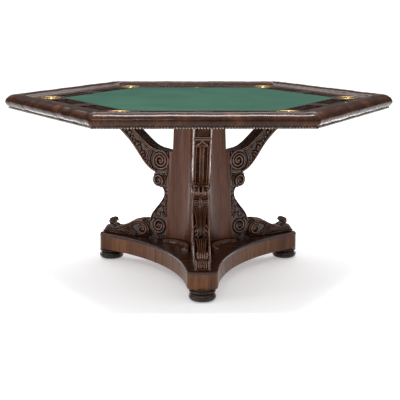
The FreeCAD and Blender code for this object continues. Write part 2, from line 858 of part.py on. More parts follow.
board_low = "Sizes.deck_bottom + Sizes.board_lift"
board_high = f"{board_low} + Sizes.board_thick"
cloth_high = f"{board_high} + Sizes.cloth_thick"
sub_part(hexagon("Board_panel", "Sizes.board_edge", board_low, board_high), "playing_board")
pull_place = turn(180)
pull_place.Base = FreeCAD.Vector(0, size("board_edge"), 0)
pull = cylinder("Pull", "Sizes.pull_radius", board_high, cloth_high, pull_place, 180)
cloth = hexagon("Cloth_blank", "Sizes.board_edge", board_high, cloth_high)
sub_part(cut("Cloth", cloth, pull), "playing_cloth")
sub_part(pull, "finger_pull")

doc.recompute()

for obj in doc.Objects:
    if "Invalid" in obj.State or "Error" in obj.State:
        raise RuntimeError(f"{obj.Name} failed: {obj.State}")
for obj in sub_parts:
    if obj.Shape.isNull() or not obj.Shape.isValid():
        raise RuntimeError(f"{obj.Label} has no valid shape")

os.makedirs("parts", exist_ok=True)
for obj in sub_parts:
    obj.Shape.exportStep(f"parts/{obj.Label}.step")
    box = obj.Shape.BoundBox
    print(
        f"{obj.Label:28s} solids {len(obj.Shape.Solids):2d}  volume {obj.Shape.Volume / 1000:9.1f} cm3"
        f"  z {box.ZMin:6.1f} to {box.ZMax:6.1f}"
    )
print(len(sub_parts), "sub-parts")
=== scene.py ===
import math

import bmesh
import bpy
import numpy as np
from mathutils import Matrix, Vector


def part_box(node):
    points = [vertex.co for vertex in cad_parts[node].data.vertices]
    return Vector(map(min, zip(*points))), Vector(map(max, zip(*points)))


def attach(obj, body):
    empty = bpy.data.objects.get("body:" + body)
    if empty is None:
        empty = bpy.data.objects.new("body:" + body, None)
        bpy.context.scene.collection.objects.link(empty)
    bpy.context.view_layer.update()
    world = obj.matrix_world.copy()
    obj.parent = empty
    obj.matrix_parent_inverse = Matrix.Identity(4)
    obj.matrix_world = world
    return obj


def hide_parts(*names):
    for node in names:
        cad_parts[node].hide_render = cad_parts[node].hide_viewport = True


# The looks of a hexagonal gaming table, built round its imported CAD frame. Metres, +Z up, with
# the front leg and the front side of the top facing -Y.

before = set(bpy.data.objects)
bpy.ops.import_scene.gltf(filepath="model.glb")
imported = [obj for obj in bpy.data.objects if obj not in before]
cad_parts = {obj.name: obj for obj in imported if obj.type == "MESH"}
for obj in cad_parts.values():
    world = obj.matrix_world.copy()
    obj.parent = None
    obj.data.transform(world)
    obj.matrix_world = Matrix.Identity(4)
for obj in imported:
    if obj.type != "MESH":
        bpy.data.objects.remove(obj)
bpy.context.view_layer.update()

MM = 0.001
# points nearer than this are one
WELD = 1e-6
# a CAD edge that turns by more than the first angle is rounded, and one that turns by more than the
# second stays crisp on the rounded mesh
HARD_ANGLE, SOFT_ANGLE = 25, 38
TURNED_STEPS = 72
TABLE, PANEL = "table", "playing_panel"
SIX_TURNS = (0, 60, 120, 180, 240, 300)
# each name with the turn that brings it round from the front
LEGS = {"front": 0, "right": 120, "left": 240}
FACES = {"right": 60, "rear": 180, "left": 300}
SIDES = dict(zip(("front", "front_right", "rear_right", "rear", "rear_left", "front_left"), SIX_TURNS))
CORNERS = dict(zip(("front_right", "right", "rear_right", "rear_left", "left", "front_left"), SIX_TURNS))
COS30, TAN30 = math.cos(math.radians(30)), math.tan(math.radians(30))


# --- Meshes and pieces --------------------------------------------------------------------------


def finish_mesh(mesh, edit, sharp):
    """Writes an edited mesh back, faces outward and smooth, with edges over an angle left crisp."""
    bmesh.ops.recalc_face_normals(edit, faces=edit.faces)
    edit.to_mesh(mesh)
    edit.free()
    mesh.polygons.foreach_set("use_smooth", [True] * len(mesh.polygons))
    if sharp:
        mesh.set_sharp_from_angle(angle=math.radians(sharp))
    return mesh


def welded(mesh):
    """A mesh opened for editing, with points that coincide made one."""
    edit = bmesh.new()
    edit.from_mesh(mesh)
    bmesh.ops.remove_doubles(edit, verts=edit.verts, dist=WELD)
    return edit


def new_mesh(name, points, faces, sharp=None):
    """A smooth mesh from points and faces, with edges over an angle left crisp."""
    mesh = bpy.data.meshes.new(name)
    mesh.from_pydata(np.asarray(points, float).tolist(), [], [list(map(int, f)) for f in faces])
    edit = bmesh.new()
    edit.from_mesh(mesh)
    return finish_mesh(mesh, edit, sharp)


def new_object(name, data):
    """An object in the scene that holds a mesh, curve, light or camera."""
    obj = bpy.data.objects.new(name, data)
    bpy.context.scene.collection.objects.link(obj)
    return obj


def circle(turned):
    """Points on a circle of radius 1 at some angles."""
    return np.column_stack([np.cos(turned), np.sin(turned)])


def at_height(plan, height):
    """The points of a plan, all at one height."""
    return np.column_stack([plan, np.full(len(plan), height)])


def skin(name, rings, sharp=None):
    """A closed solid through a stack of closed rings of points, capped at both ends."""
    rings = np.asarray(rings, float)
    rows, columns = rings.shape[:2]
    r, c = (a.ravel() for a in np.meshgrid(np.arange(rows - 1), np.arange(columns), indexing="ij"))
    here, following = r * columns, (c + 1) % columns
    above = here + columns
    faces = np.stack([here + c, above + c, above + following, here + following], axis=1).tolist()
    faces += [list(range(columns))[::-1], list(range((rows - 1) * columns, rows * columns))]
    return new_mesh(name, rings.reshape(-1, 3), faces, sharp)


def lathe(name, profile, centre, sharp=45):
    """A solid turned about an upright axis from (radius, height) points that start and end on it."""
    around = circle(np.linspace(0, 2 * math.pi, TURNED_STEPS, endpoint=False))
    rings = [at_height(centre[:2] + radius * around, up) for radius, up in profile[1:-1]]
    return skin(name, rings, sharp)


def softened_copy(node, width):
    """A copy of a CAD node's mesh whose hard edges are rounded, as a sander leaves them."""
    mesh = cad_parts[node].data.copy()
    mesh.materials.clear()
    edit = welded(mesh)
    bmesh.ops.dissolve_limit(edit, angle_limit=math.radians(0.3), verts=edit.verts, edges=edit.edges)
    least = math.radians(HARD_ANGLE)
    hard = [e for e in edit.edges if len(e.link_faces) == 2 and e.calc_face_angle() > least]
    shape = {"offset": width, "segments": 3, "profile": 0.5, "affect": "EDGES", "clamp_overlap": True}
    bmesh.ops.bevel(edit, geom=hard, **shape)
    return finish_mesh(mesh, edit, SOFT_ANGLE)


def add_piece(name, mesh, material, body=TABLE, stands_for=(), turn=0):
    """Puts a mesh on a body, turned about the table's axis, in place of CAD nodes."""
    obj = new_object(name, mesh)
    obj.rotation_euler.z = math.radians(turn)
    if not mesh.materials:
        mesh.materials.append(material)
    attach(obj, body)
    if stands_for:
        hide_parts(*stands_for)
    return obj


def add_round(name, mesh, material, places, node):
    """One piece at each of the named places round the table, each in place of its own CAD node."""
    for place, angle in places.items():
        add_piece(f"{name}_{place}", mesh, material, stands_for=[f"{node}_{place}"], turn=angle)


def outline_of(node, normal):
    """The border, in order, of the flat faces of a CAD node that look along a direction."""
    edit = welded(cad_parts[node].data)
    direction = Vector(normal).normalized()
    facing = {f for f in edit.faces if f.normal.dot(direction) > 0.9995}
    border = [e for e in edit.edges if sum(f in facing for f in e.link_faces) == 1]
    links = {}
    for e in border:
        a, b = e.verts
        links.setdefault(a, []).append(b)
        links.setdefault(b, []).append(a)
    start = border[0].verts[0]
    loop, last, here = [start], None, start
    while True:
        following = next((v for v in links[here] if v is not last and v is not start), None)
        if following is None or following in loop[1:]:
            break
        loop.append(following)
        last, here = here, following
    points = np.array([v.co for v in loop], float)
    edit.free()
    return points


def smoothstep(x, low, high):
    """0 below a range, 1 above it, and an even ease between."""
    t = np.clip((x - low) / (high - low), 0, 1)
    return t * t * (3 - 2 * t)


def resampled(points, count):
    """Evenly spaced points along a line."""
    along = np.concatenate([[0], np.cumsum(np.linalg.norm(np.diff(points, axis=0), axis=1))])
    at = np.linspace(0, along[-1], count)
    return np.stack([np.interp(at, along, points[:, k]) for k in range(points.shape[1])], axis=1)


def curve_through(points, count):
    """Evenly spaced points on a smooth curve through a few given ones (Catmull-Rom)."""
    p = np.asarray(points, float)
    p = np.vstack([2 * p[0] - p[1], p, 2 * p[-1] - p[-2]])
    t = np.linspace(0, 1, 24, endpoint=False)[:, None]
    fine = []
    for a, b, c, d in zip(p, p[1:], p[2:], p[3:]):
        cubic = (3 * b - a - 3 * c + d) * t**3
        fine.append(0.5 * (2 * b + (c - a) * t + (2 * a - 5 * b + 4 * c - d) * t**2 + cubic))
    return resampled(np.vstack(fine + [p[-2:-1]]), count)


# --- Materials ----------------------------------------------------------------------------------


def set_inputs(node, **values):
    """Writes numbers on a node's inputs. An underscore in a name stands for a space."""
    for key, value in values.items():
        node.inputs[key.replace("_", " ")].default_value = value


class Shader:
    """A node material with short calls for the nodes used here."""

    def __init__(self, name):
        self.material = bpy.data.materials.new(name)
        self.material.use_nodes = True
        self.nodes = self.material.node_tree.nodes
        self.links = self.material.node_tree.links
        self.surface = self.nodes["Principled BSDF"]
        self.place = self.add("ShaderNodeTexCoord").outputs["Object"]

    def add(self, kind, **settings):
        node = self.nodes.new(kind)
        for key, value in settings.items():
            setattr(node, key, value)
        return node

    def feed(self, value, socket):
        """Links a socket to an input, or writes a number or a colour on it."""
        if isinstance(value, bpy.types.NodeSocket):
            self.links.new(value, socket)
        elif socket.type == "RGBA":
            socket.default_value = (*value, 1)
        else:
            socket.default_value = value

    def set(self, **values):
        for key, value in values.items():
            self.feed(value, self.surface.inputs[key.replace("_", " ")])

    def stretched(self, *scale):
        """The piece's own coordinates, scaled along each axis."""
        node = self.add("ShaderNodeMapping")
        set_inputs(node, Scale=scale)
        self.feed(self.place, node.inputs["Vector"])
        return node.outputs["Vector"]

    def noise(self, vector, detail=4.0, roughness=0.55, distortion=0.0):
        node = self.add("ShaderNodeTexNoise")
        set_inputs(node, Scale=1.0, Detail=detail, Roughness=roughness, Distortion=distortion)
        self.feed(vector, node.inputs["Vector"])
        return node.outputs["Fac"]

    def ramp(self, factor, *stops):
        """A colour for each place on a factor's range, from (place, colour) stops."""
        node = self.add("ShaderNodeValToRGB")
        elements = node.color_ramp.elements
        for i, (position, colour) in enumerate(stops):
            element = elements[i] if i < 2 else elements.new(position)
            element.position = position
            element.color = (*colour, 1)
        self.feed(factor, node.inputs["Fac"])
        return node.outputs["Color"]

    def mix(self, factor, a, b):
        node = self.add("ShaderNodeMix", data_type="RGBA")
        for value, socket in ((factor, node.inputs[0]), (a, node.inputs[6]), (b, node.inputs[7])):
            self.feed(value, socket)
        return node.outputs[2]

    def between(self, factor, low, high, from_low=0.0, from_high=1.0):
        """A factor's range carried over to another range."""
        node = self.add("ShaderNodeMapRange")
        set_inputs(node, From_Min=from_low, From_Max=from_high, To_Min=low, To_Max=high)
        self.feed(factor, node.inputs["Value"])
        return node.outputs["Result"]

    def math(self, operation, a, b):
        node = self.add("ShaderNodeMath", operation=operation)
        self.feed(a, node.inputs[0])
        self.feed(b, node.inputs[1])
        return node.outputs[0]

    def blended(self, a, b, share):
        """Two factors added in a fixed proportion."""
        return self.math("ADD", self.math("MULTIPLY", a, share), self.math("MULTIPLY", b, 1 - share))

    def bump(self, height, strength, distance):
        """Lets a height shade the surface."""
        node = self.add("ShaderNodeBump")
        set_inputs(node, Strength=strength, Distance=distance)
        self.feed(height, node.inputs["Height"])
        self.set(Normal=node.outputs["Normal"])

    def attribute(self, name):
        return self.add("ShaderNodeAttribute", attribute_name=name).outputs["Fac"]


def wood(name, along, dark, mid, light, rough=0.27, specular=0.13, fleck=0.45, cloudy=0.72, wear_and_painted_shade=False):
    """Polished wood whose grain runs along one of the piece's own axes (0 x, 1 y, 2 z)."""
    s = Shader(name)

    def grain(across, lengthwise):
        scale = [across] * 3
        scale[along] = lengthwise
        return s.stretched(*scale)

    figure = s.noise(grain(11, 1.4), 5, 0.6, 1.1)
    streaks = s.noise(grain(120, 3.0), 6, 0.62, 0.3)
    pores = s.noise(grain(900, 22), 2, 0.5)
    colour = s.ramp(s.blended(figure, streaks, cloudy), (0.36, dark), (0.68, light), (0.51, mid))
    pits = s.between(pores, 0.0, 1.0, 0.36, 0.5)
    depth = s.math("MULTIPLY", s.math("SUBTRACT", 1.0, pits), fleck)
    colour = s.mix(depth, colour, [c * 0.4 for c in dark])
    # for the carved wood, hollows are darkened as painted shade and given less gloss, and ridges are
    # lightened, partly for wear and partly as a painted highlight
    if wear_and_painted_shade:
        raised = s.attribute("raised")
        colour = s.mix(s.between(raised, 0.0, 0.92, 0.02, -0.36), colour, [c * 0.25 for c in dark])
        colour = s.mix(s.between(raised, 0.0, 0.8, 0.14, 0.65), colour, [c * 1.5 for c in light])
        s.set(Specular_IOR_Level=s.between(raised, specular * 0.12, specular * 1.7, -0.5, 0.5))
    else:
        s.set(Specular_IOR_Level=specular)
    s.set(Base_Color=colour, Roughness=s.between(streaks, rough - 0.04, rough + 0.1, 0.3, 0.7))
    s.bump(s.blended(pits, s.noise(s.stretched(22, 22, 22), 2), 0.3), 0.35, 0.0006)
    return s.material


MAHOGANY = ((0.060, 0.016, 0.006), (0.115, 0.035, 0.013), (0.190, 0.062, 0.024))
CROSSBAND = ((0.064, 0.023, 0.010), (0.118, 0.046, 0.020), (0.185, 0.075, 0.032))
BOARD = ((0.012, 0.005, 0.003), (0.026, 0.010, 0.006), (0.055, 0.022, 0.012))
PLINTH = ((0.020, 0.008, 0.005), (0.044, 0.017, 0.010), (0.085, 0.034, 0.018))
CARVED = ((0.016, 0.006, 0.003), (0.038, 0.014, 0.007), (0.100, 0.036, 0.015))
EBONISED = ((0.016, 0.010, 0.008), (0.032, 0.019, 0.014), (0.060, 0.034, 0.024))
PLAIN = ((0.20, 0.12, 0.06), (0.33, 0.21, 0.11), (0.45, 0.31, 0.18))

upright_wood = wood("upright_mahogany", 2, *MAHOGANY, rough=0.2, specular=0.22)
lengthwise_wood = wood("lengthwise_mahogany", 0, *BOARD, specular=0.12)
crossband_wood = wood("crossband_mahogany", 2, *CROSSBAND, cloudy=0.86)
board_wood = wood("board_mahogany", 0, *BOARD)
plinth_wood = wood("plinth_mahogany", 0, *PLINTH, rough=0.18, specular=0.3)
bead_wood = wood("bead_mahogany", 2, *CROSSBAND, rough=0.2, specular=0.6, wear_and_painted_shade=True)
carved_wood = wood("carved_mahogany", 2, *CARVED, rough=0.17, specular=0.38, wear_and_painted_shade=True)
turned_wood = wood("turned_wood", 2, *EBONISED, rough=0.24, specular=0.22)
frame_wood = wood("frame_wood", 0, *PLAIN, rough=0.5, fleck=0.3)


def leather():
    """Antiqued glossy leather: mottled brown, fine grain, small creases."""
    s = Shader("antiqued_leather")
    cloud = s.noise(s.stretched(7, 7, 16), 5, 0.6, 0.6)
    strokes = s.noise(s.stretched(60, 60, 14), 4, 0.6)
    browns = ((0.34, (0.010, 0.003, 0.001)), (0.70, (0.080, 0.026, 0.009)), (0.52, (0.028, 0.009, 0.004)))
    s.set(Base_Color=s.ramp(s.blended(cloud, strokes, 0.6), *browns))
    cells = s.add("ShaderNodeTexVoronoi", feature="DISTANCE_TO_EDGE")
    set_inputs(cells, Scale=620)
    s.feed(s.place, cells.inputs["Vector"])
    pebbles = s.between(cells.outputs["Distance"], 0.0, 1.0, 0.0, 0.25)
    creases = s.noise(s.stretched(170, 170, 90), 4, 0.6, 0.8)
    s.bump(s.blended(pebbles, creases, 0.2), 0.22, 0.0007)
    s.set(Roughness=s.between(cloud, 0.12, 0.20, 0.3, 0.7), Specular_IOR_Level=0.17)
    return s.material


def baize():
    """Green wool playing cloth: fine fibres, a soft nap and faint shading."""
    s = Shader("green_baize")
    nap = s.noise(s.stretched(5, 5, 5), 4, 0.6, 0.5)
    fibres = s.noise(s.stretched(900, 420, 900), 3, 0.65, 0.6)
    greens = ((0.34, (0.013, 0.043, 0.029)), (0.68, (0.026, 0.070, 0.048)), (0.5, (0.019, 0.055, 0.038)))
    s.set(Base_Color=s.ramp(s.blended(nap, fibres, 0.5), *greens))
    s.set(Roughness=0.95, Specular_IOR_Level=0.1)
    s.bump(fibres, 0.5, 0.0005)
    return s.material


def metal(name, colour, tarnish, rough, tarnished=0.5):
    """Metal with patches of tarnish and fine scratches."""
    s = Shader(name)
    patches = s.noise(s.stretched(60, 60, 60), 5, 0.65, 0.4)
    s.set(Base_Color=s.mix(s.between(patches, 0.0, tarnished, 0.45, 0.7), colour, tarnish), Metallic=1.0)
    s.set(Roughness=s.between(patches, rough, rough + 0.2, 0.35, 0.75))
    s.bump(s.noise(s.stretched(300, 300, 4000), 2), 0.12, 0.0002)
    return s.material


def plastic():
    """Dark plastic with a fine speckle."""
    s = Shader("glide_plastic")
    speckle = s.noise(s.stretched(300, 300, 300))
    s.set(Base_Color=s.ramp(speckle, (0.3, (0.02, 0.02, 0.02)), (0.7, (0.05, 0.05, 0.05))), Roughness=0.5)
    s.bump(speckle, 0.2, 0.0003)
    return s.material


leather_cover, cloth, glide_plastic = leather(), baize(), plastic()
brass = metal("polished_brass", (0.54, 0.36, 0.14), (0.24, 0.15, 0.06), 0.2)
aged_brass = metal("aged_brass", (0.27, 0.235, 0.20), (0.06, 0.05, 0.04), 0.32, tarnished=0.8)
steel = metal("plated_steel", (0.56, 0.56, 0.58), (0.32, 0.30, 0.28), 0.3)

# --- Rail: six leather-covered pads ---------------------------------------------------------------

PLEAT_SEED, CROWN_POINTS, PAD_COLUMNS, CROWN_LIFT = 11, 44, 320, 6.5 * MM
# the ranges of a pleat's distance from the last one and its rise in metres, its depth and width in
# millimetres, and its slope
PLEAT_GAP, PLEAT_RISE, PLEAT_DEEP, PLEAT_WIDE = (0.014, 0.036), (0.014, 0.046), (0.5, 1.5), (3.5, 7.5)
PLEAT_LEAN, SWELLS, SWELL_HIGH, OFFSET_MOST = (-0.18, 0.18), 6, 0.26 * MM, 0.6 * MM
# each mitre has a sunk seam with a low lip beside it
SEAM_DEEP, SEAM_WIDE, LIP_HIGH, LIP_AT, LIP_WIDE = 2.6 * MM, 0.0045, 0.7 * MM, 0.012, 0.007
pad_low, pad_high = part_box("rail_pad_front")
deck_low, deck_top = (corner.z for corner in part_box("border_front"))


def pad_section():
    """The pad's section as (distance from axis, height): the crown from the nails to the deck, and
    the underside."""
    mitre = (math.cos(math.radians(150)), math.sin(math.radians(150)), 0)
    loop = outline_of("rail_pad_front", mitre)
    loop = np.stack([-loop[:, 1], loop[:, 2]], axis=1)
    foot = np.array([loop[loop[:, 1] < pad_low.z + 1 * MM, 0].max(), pad_low.z])
    heel = np.array([loop[:, 0].min(), deck_top])
    first = int(np.argmin(np.linalg.norm(loop - foot, axis=1)))
    run = np.roll(loop, -first, axis=0)
    last = int(np.argmin(np.linalg.norm(run - heel, axis=1)))
    one, other = run[: last + 1], np.vstack([run[last:], run[:1]])[::-1]
    shown, hidden = (one, other) if one[:, 1].max() > pad_high.z - 1 * MM else (other, one)
    return resampled(shown, CROWN_POINTS), hidden[1:-1][::-1]


crown, underside = pad_section()
# the stuffing makes the leather stand a little proud of the plain section, towards the deck
share_up = np.linspace(0, 1, CROWN_POINTS)
crown[:, 1] += CROWN_LIFT * smoothstep(share_up, 0.25, 0.62) * (1 - smoothstep(share_up, 0.90, 1.0))
pad_foot = float(crown[0, 0])


def pad_mesh(seed):
    """One side's pad: the crown with pleats that rise from the nails, mitred at both ends."""
    random = np.random.default_rng(seed)
    tangent = np.gradient(crown, axis=0)
    tangent /= np.linalg.norm(tangent, axis=1)[:, None]
    outward = np.stack([tangent[:, 1], -tangent[:, 0]], axis=1)
    share = np.linspace(-1, 1, PAD_COLUMNS)[:, None]
    along = share * crown[:, 0] * TAN30
    height = crown[:, 1][None, :] - pad_low.z
    offset = np.zeros(along.shape)
    half = float(crown[:, 0].max()) * TAN30
    at = -half
    while at < half:
        at += random.uniform(*PLEAT_GAP)
        deep, wide = random.uniform(*PLEAT_DEEP) * MM, random.uniform(*PLEAT_WIDE) * MM
        rise, lean = random.uniform(*PLEAT_RISE), random.uniform(*PLEAT_LEAN)
        shape = np.exp(-(((along - at - lean * height) / wide) ** 2))
        fading = 1 - smoothstep(height, rise * 0.45, rise)
        offset -= deep * shape * fading * smoothstep(height, 0.0, 0.005)
    for wave in range(SWELLS):
        length, phase = random.uniform(0.05, 0.42), random.uniform(0, 6.28)
        offset += SWELL_HIGH * np.sin(2 * math.pi * along / length + phase + 14 * height * wave)
    to_mitre = (1 - np.abs(share)) * crown[:, 0] * TAN30 * COS30
    offset -= SEAM_DEEP * np.exp(-((to_mitre / SEAM_WIDE) ** 2))
    offset += LIP_HIGH * np.exp(-(((to_mitre - LIP_AT) / LIP_WIDE) ** 2))
    rows = np.arange(CROWN_POINTS)
    held = smoothstep(rows, 0, 3) * (1 - smoothstep(rows, CROWN_POINTS - 5, CROWN_POINTS - 1))
    offset = np.minimum(offset * held, OFFSET_MOST)
    moved = offset[:, :, None] * outward
    shown = np.stack([along, -crown[:, 0] - moved[:, :, 0], crown[:, 1] + moved[:, :, 1]], axis=2)
    flat = np.tile(underside, (PAD_COLUMNS, 1, 1))
    hidden = np.stack([share * underside[:, 0] * TAN30, -flat[:, :, 0], flat[:, :, 1]], axis=2)
    return skin(f"rail_{seed}", np.concatenate([shown, hidden], axis=1), 55)


for number, (side, angle) in enumerate(SIDES.items()):
    mesh, node = pad_mesh(PLEAT_SEED + number), f"rail_pad_{side}"
    pad = add_piece(f"leather_rail_{side}", mesh, leather_cover, TABLE, [node], angle)

# --- Nail heads along the foot of the rail ---------------------------------------------------------

NAIL_PITCH, NAIL_RADIUS, NAIL_PROUD, NAIL_SUNK = 0.0111, 0.0040, 0.0030, 0.4 * MM
NAIL_RINGS, NAIL_POINTS, NAIL_SEED, NAIL_SCATTER = 4, 12, 5, 0.22 * MM
trim_low, trim_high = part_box("nail_trim")


def nail_row():
    """Domed nail heads, side by side, along the front side."""
    tilts = np.repeat(np.linspace(90 / NAIL_RINGS, 90, NAIL_RINGS), NAIL_POINTS)
    turns = np.tile(np.arange(NAIL_POINTS) * 360 / NAIL_POINTS, NAIL_RINGS)
    tilts, turns = np.radians(tilts), np.radians(turns)
    reach = NAIL_RADIUS * np.sin(tilts)
    dome = np.stack([reach * np.cos(turns), -NAIL_PROUD * np.cos(tilts), reach * np.sin(turns)], axis=1)
    dome = np.vstack([[0, -NAIL_PROUD, 0], dome])
    steps = [(s, (s + 1) % NAIL_POINTS) for s in range(NAIL_POINTS)]
    faces = [(0, 1 + a, 1 + b) for a, b in steps]
    for ring in range(NAIL_RINGS - 1):
        low = 1 + ring * NAIL_POINTS
        high = low + NAIL_POINTS
        faces += [(low + a, high + a, high + b, low + b) for a, b in steps]
    faces.append(tuple(1 + (NAIL_RINGS - 1) * NAIL_POINTS + s for s in range(NAIL_POINTS))[::-1])
    half = int((pad_foot * TAN30 - NAIL_RADIUS) / NAIL_PITCH)
    random = np.random.default_rng(NAIL_SEED)
    middle = np.array([0, NAIL_SUNK - pad_foot, (trim_low.z + trim_high.z) / 2])
    points, all_faces = [], []
    for k in range(-half, half + 1):
        knocked = random.normal(0, NAIL_SCATTER, 2)
        all_faces += [[i + len(points) * len(dome) for i in f] for f in faces]
        points.append(dome + middle + [k * NAIL_PITCH + knocked[0], 0, knocked[1]])
    return new_mesh("nail_row", np.concatenate(points), all_faces, sharp=60)


nails = nail_row()
for side, angle in SIDES.items():
    stands_for = ["nail_trim"] if side == "front" else []
    add_piece(f"nail_heads_{side}", nails, aged_brass, stands_for=stands_for, turn=angle)

# --- Border, chip trays, cups, playing panel --------------------------------------------------------

BORDER_INNER, BORDER_OUTER, BORDER_SOFT = 0.5003, 0.636, 0.9 * MM
TRAY_OFFSET, TRAY_HALF, TRAY_INNER, TRAY_OUTER = 0.136, 0.109, 0.504, 0.592
CUP_CIRCLE, CUP_HOLE = 0.635, 0.0385


def border_outline():
    """The front border's outline in plan: a trapezoid with half a cup hole in each mitred end."""
    cup = CUP_CIRCLE * np.array([math.sin(math.radians(30)), -COS30])
    mitre = cup / CUP_CIRCLE
    turned = math.atan2(mitre[1], mitre[0]) - np.radians(np.linspace(0, 180, 37))
    notch = [cup + CUP_HOLE * np.array([math.cos(a), math.sin(a)]) for a in turned]
    right = [np.array([BORDER_OUTER * TAN30, -BORDER_OUTER])] + notch
    right.append(np.array([BORDER_INNER * TAN30, -BORDER_INNER]))
    return right + [p * [-1, 1] for p in right[::-1]]


def border_mesh():
    """The border as a flat curve with holes for the trays, filled, thickened and edged."""
    curve = bpy.data.curves.new("border", "CURVE")
    curve.dimensions, curve.fill_mode = "2D", "BOTH"
    curve.extrude = (deck_top - deck_low) / 2 - BORDER_SOFT
    curve.bevel_depth, curve.bevel_resolution, curve.offset = BORDER_SOFT, 2, -BORDER_SOFT
    loops = [border_outline()]
    for side in (-1, 1):
        left, right = side * TRAY_OFFSET - TRAY_HALF, side * TRAY_OFFSET + TRAY_HALF
        loops.append([(left, -TRAY_OUTER), (right, -TRAY_OUTER), (right, -TRAY_INNER), (left, -TRAY_INNER)])
    for loop in loops:
        spline = curve.splines.new("POLY")
        spline.points.add(len(loop) - 1)
        spline.use_cyclic_u = True
        for point, (x, y) in zip(spline.points, loop):
            point.co = (x, y, 0, 1)
    obj = new_object("border", curve)
    mesh = bpy.data.meshes.new_from_object(obj.evaluated_get(bpy.context.evaluated_depsgraph_get()))
    bpy.data.objects.remove(obj)
    mesh.transform(Matrix.Translation((0, 0, (deck_low + deck_top) / 2)))
    return finish_mesh(mesh, welded(mesh), SOFT_ANGLE)


add_round("wood_border", border_mesh(), lengthwise_wood, SIDES, "border")
tray_mesh = softened_copy("chip_trays_front", 0.7 * MM)
add_round("tray_pair", tray_mesh, board_wood, SIDES, "chip_trays")

cup_low, cup_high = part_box("drink_cup_front_right")
cup_centre = np.array((cup_low + cup_high) / 2)
CUP_BODY, CUP_WALL = 0.0375, 0.0015


def rounding(middle_radius, middle_height, radius, start, end, count):
    """Points round a part of a circle in a turned profile."""
    turned = np.radians(np.linspace(start, end, count))
    return [(middle_radius + radius * math.cos(a), middle_height + radius * math.sin(a)) for a in turned]


def cup_profile():
    """A spun brass cup: rolled rim, stepped lip, grooved straight wall and a dished bottom."""
    rim, inside, floor = (cup_high.x - cup_low.x) / 2, CUP_BODY - CUP_WALL, cup_low.z
    profile = [(0, floor)] + rounding(CUP_BODY - 6 * MM, floor + 6 * MM, 6 * MM, -90, 0, 5)
    profile += [(CUP_BODY, deck_top - 1 * MM), (CUP_BODY + 1 * MM, deck_top + 0.3 * MM)]
    profile += rounding(rim - 1.6 * MM, deck_top + 0.3 * MM, 1.6 * MM, -60, 120, 9)
    steps = ((3.5, 1.4), (1.0, 0.6), (0, -1.5), (0, -12), (-0.8, -12.8), (-0.8, -14), (0, -14.8))
    profile += [(inside + across * MM, deck_top + up * MM) for across, up in steps]
    profile += rounding(inside - 6 * MM, floor + 8 * MM, 6 * MM, 0, -90, 5)
    return profile + [(inside * 0.5, floor + 2.6 * MM), (1 * MM, floor + 3.2 * MM), (0, floor + 3.2 * MM)]


cup_mesh = lathe("cup", cup_profile(), cup_centre)
for corner, angle in CORNERS.items():
    body, node = f"cup_{corner}", f"drink_cup_{corner}"
    add_piece(f"brass_cup_{corner}", cup_mesh, brass, body, [node], angle)

cloth_low, cloth_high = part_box("playing_cloth")
cloth_corner = cloth_high.x
CLOTH_SEED, CLOTH_WAVE = 3, 0.06 * MM


def cloth_mesh():
    """The cloth pulled flat over its board: rings of a hexagon, turned down softly at the edge."""
    per_side, rings = 24, 40
    corners = circle(np.radians(np.array(SIX_TURNS + (0,))))
    step = np.linspace(0, 1, per_side, endpoint=False)[:, None]
    hexagon = np.concatenate([a + (b - a) * step for a, b in zip(corners, corners[1:])])
    random = np.random.default_rng(CLOTH_SEED)
    waves = [(random.uniform(6, 22), random.uniform(0, 6.28), random.uniform(0, 6.28)) for _ in range(7)]
    profile = [(s, cloth_high.z) for s in np.linspace(0.02, 0.996, rings)]
    profile += [(0.9985, cloth_high.z - 0.3 * MM), (1.0, cloth_high.z - 1 * MM), (1.0, cloth_low.z)]
    layers = []
    for reach, height in profile:
        ring = hexagon * cloth_corner * reach
        x, y = ring.T
        lift = sum(np.sin(k * (x * math.cos(d) + y * math.sin(d)) + p) for k, d, p in waves)
        layers.append(np.column_stack([ring, height + lift * CLOTH_WAVE * (reach < 0.997)]))
    return skin("cloth", layers, 60)


playing_cloth = add_piece("green_cloth", cloth_mesh(), cloth, PANEL, ["playing_cloth"])
board_mesh = softened_copy("playing_board", 0.5 * MM)
add_piece("panel_board", board_mesh, frame_wood, PANEL, ["playing_board"])


def pull_mesh():
    """A half-round brass finger pull with a domed top, let into the rear edge of the cloth."""
    low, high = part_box("finger_pull")
    radius, rings, dome = (high.x - low.x) / 2, 8, 0.9 * MM
    edge = radius * circle(np.radians(np.linspace(180, 360, 25))) + [0, high.y]
    middle = np.array([(low.x + high.x) / 2, high.y - radius * 0.4])
    layers = [at_height(edge, low.z)]
    for share in np.linspace(1, 0.1, rings):
        lift = dome * math.sqrt(1 - share**2)
        layers.append(at_height(middle + (edge - middle) * share, high.z + lift))
    return skin("pull", layers, 50)


add_piece("brass_finger_pull", pull_mesh(), brass, PANEL, ["finger_pull"])

# --- Column ---------------------------------------------------------------------------------------

column_low, column_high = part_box("column_panel_rear")
FOOT_VERTEX, HEAD_VERTEX, VERTEX_HALF = column_high.x / COS30, 0.1025, 0.041
FOOT_WAIST, HEAD_WAIST, HOLLOW_SIDE = 0.061, 0.050, 0.031
# how far from a hollow's corner the points of the flat strip beside it lie, in millimetres
STRIP_POINTS = (12, 3, 0.6)


def hollow_arc(vertex, waist):
    """The corner, centre distance and radius of a hollow face, facing -Y, between two leg faces."""
    corner = np.array([vertex * COS30 - VERTEX_HALF / 2, -vertex / 2 - VERTEX_HALF * COS30])
    sag = -corner[1] - waist
    radius = (corner[0] ** 2 + sag**2) / (2 * sag)
    return corner, waist + radius, radius


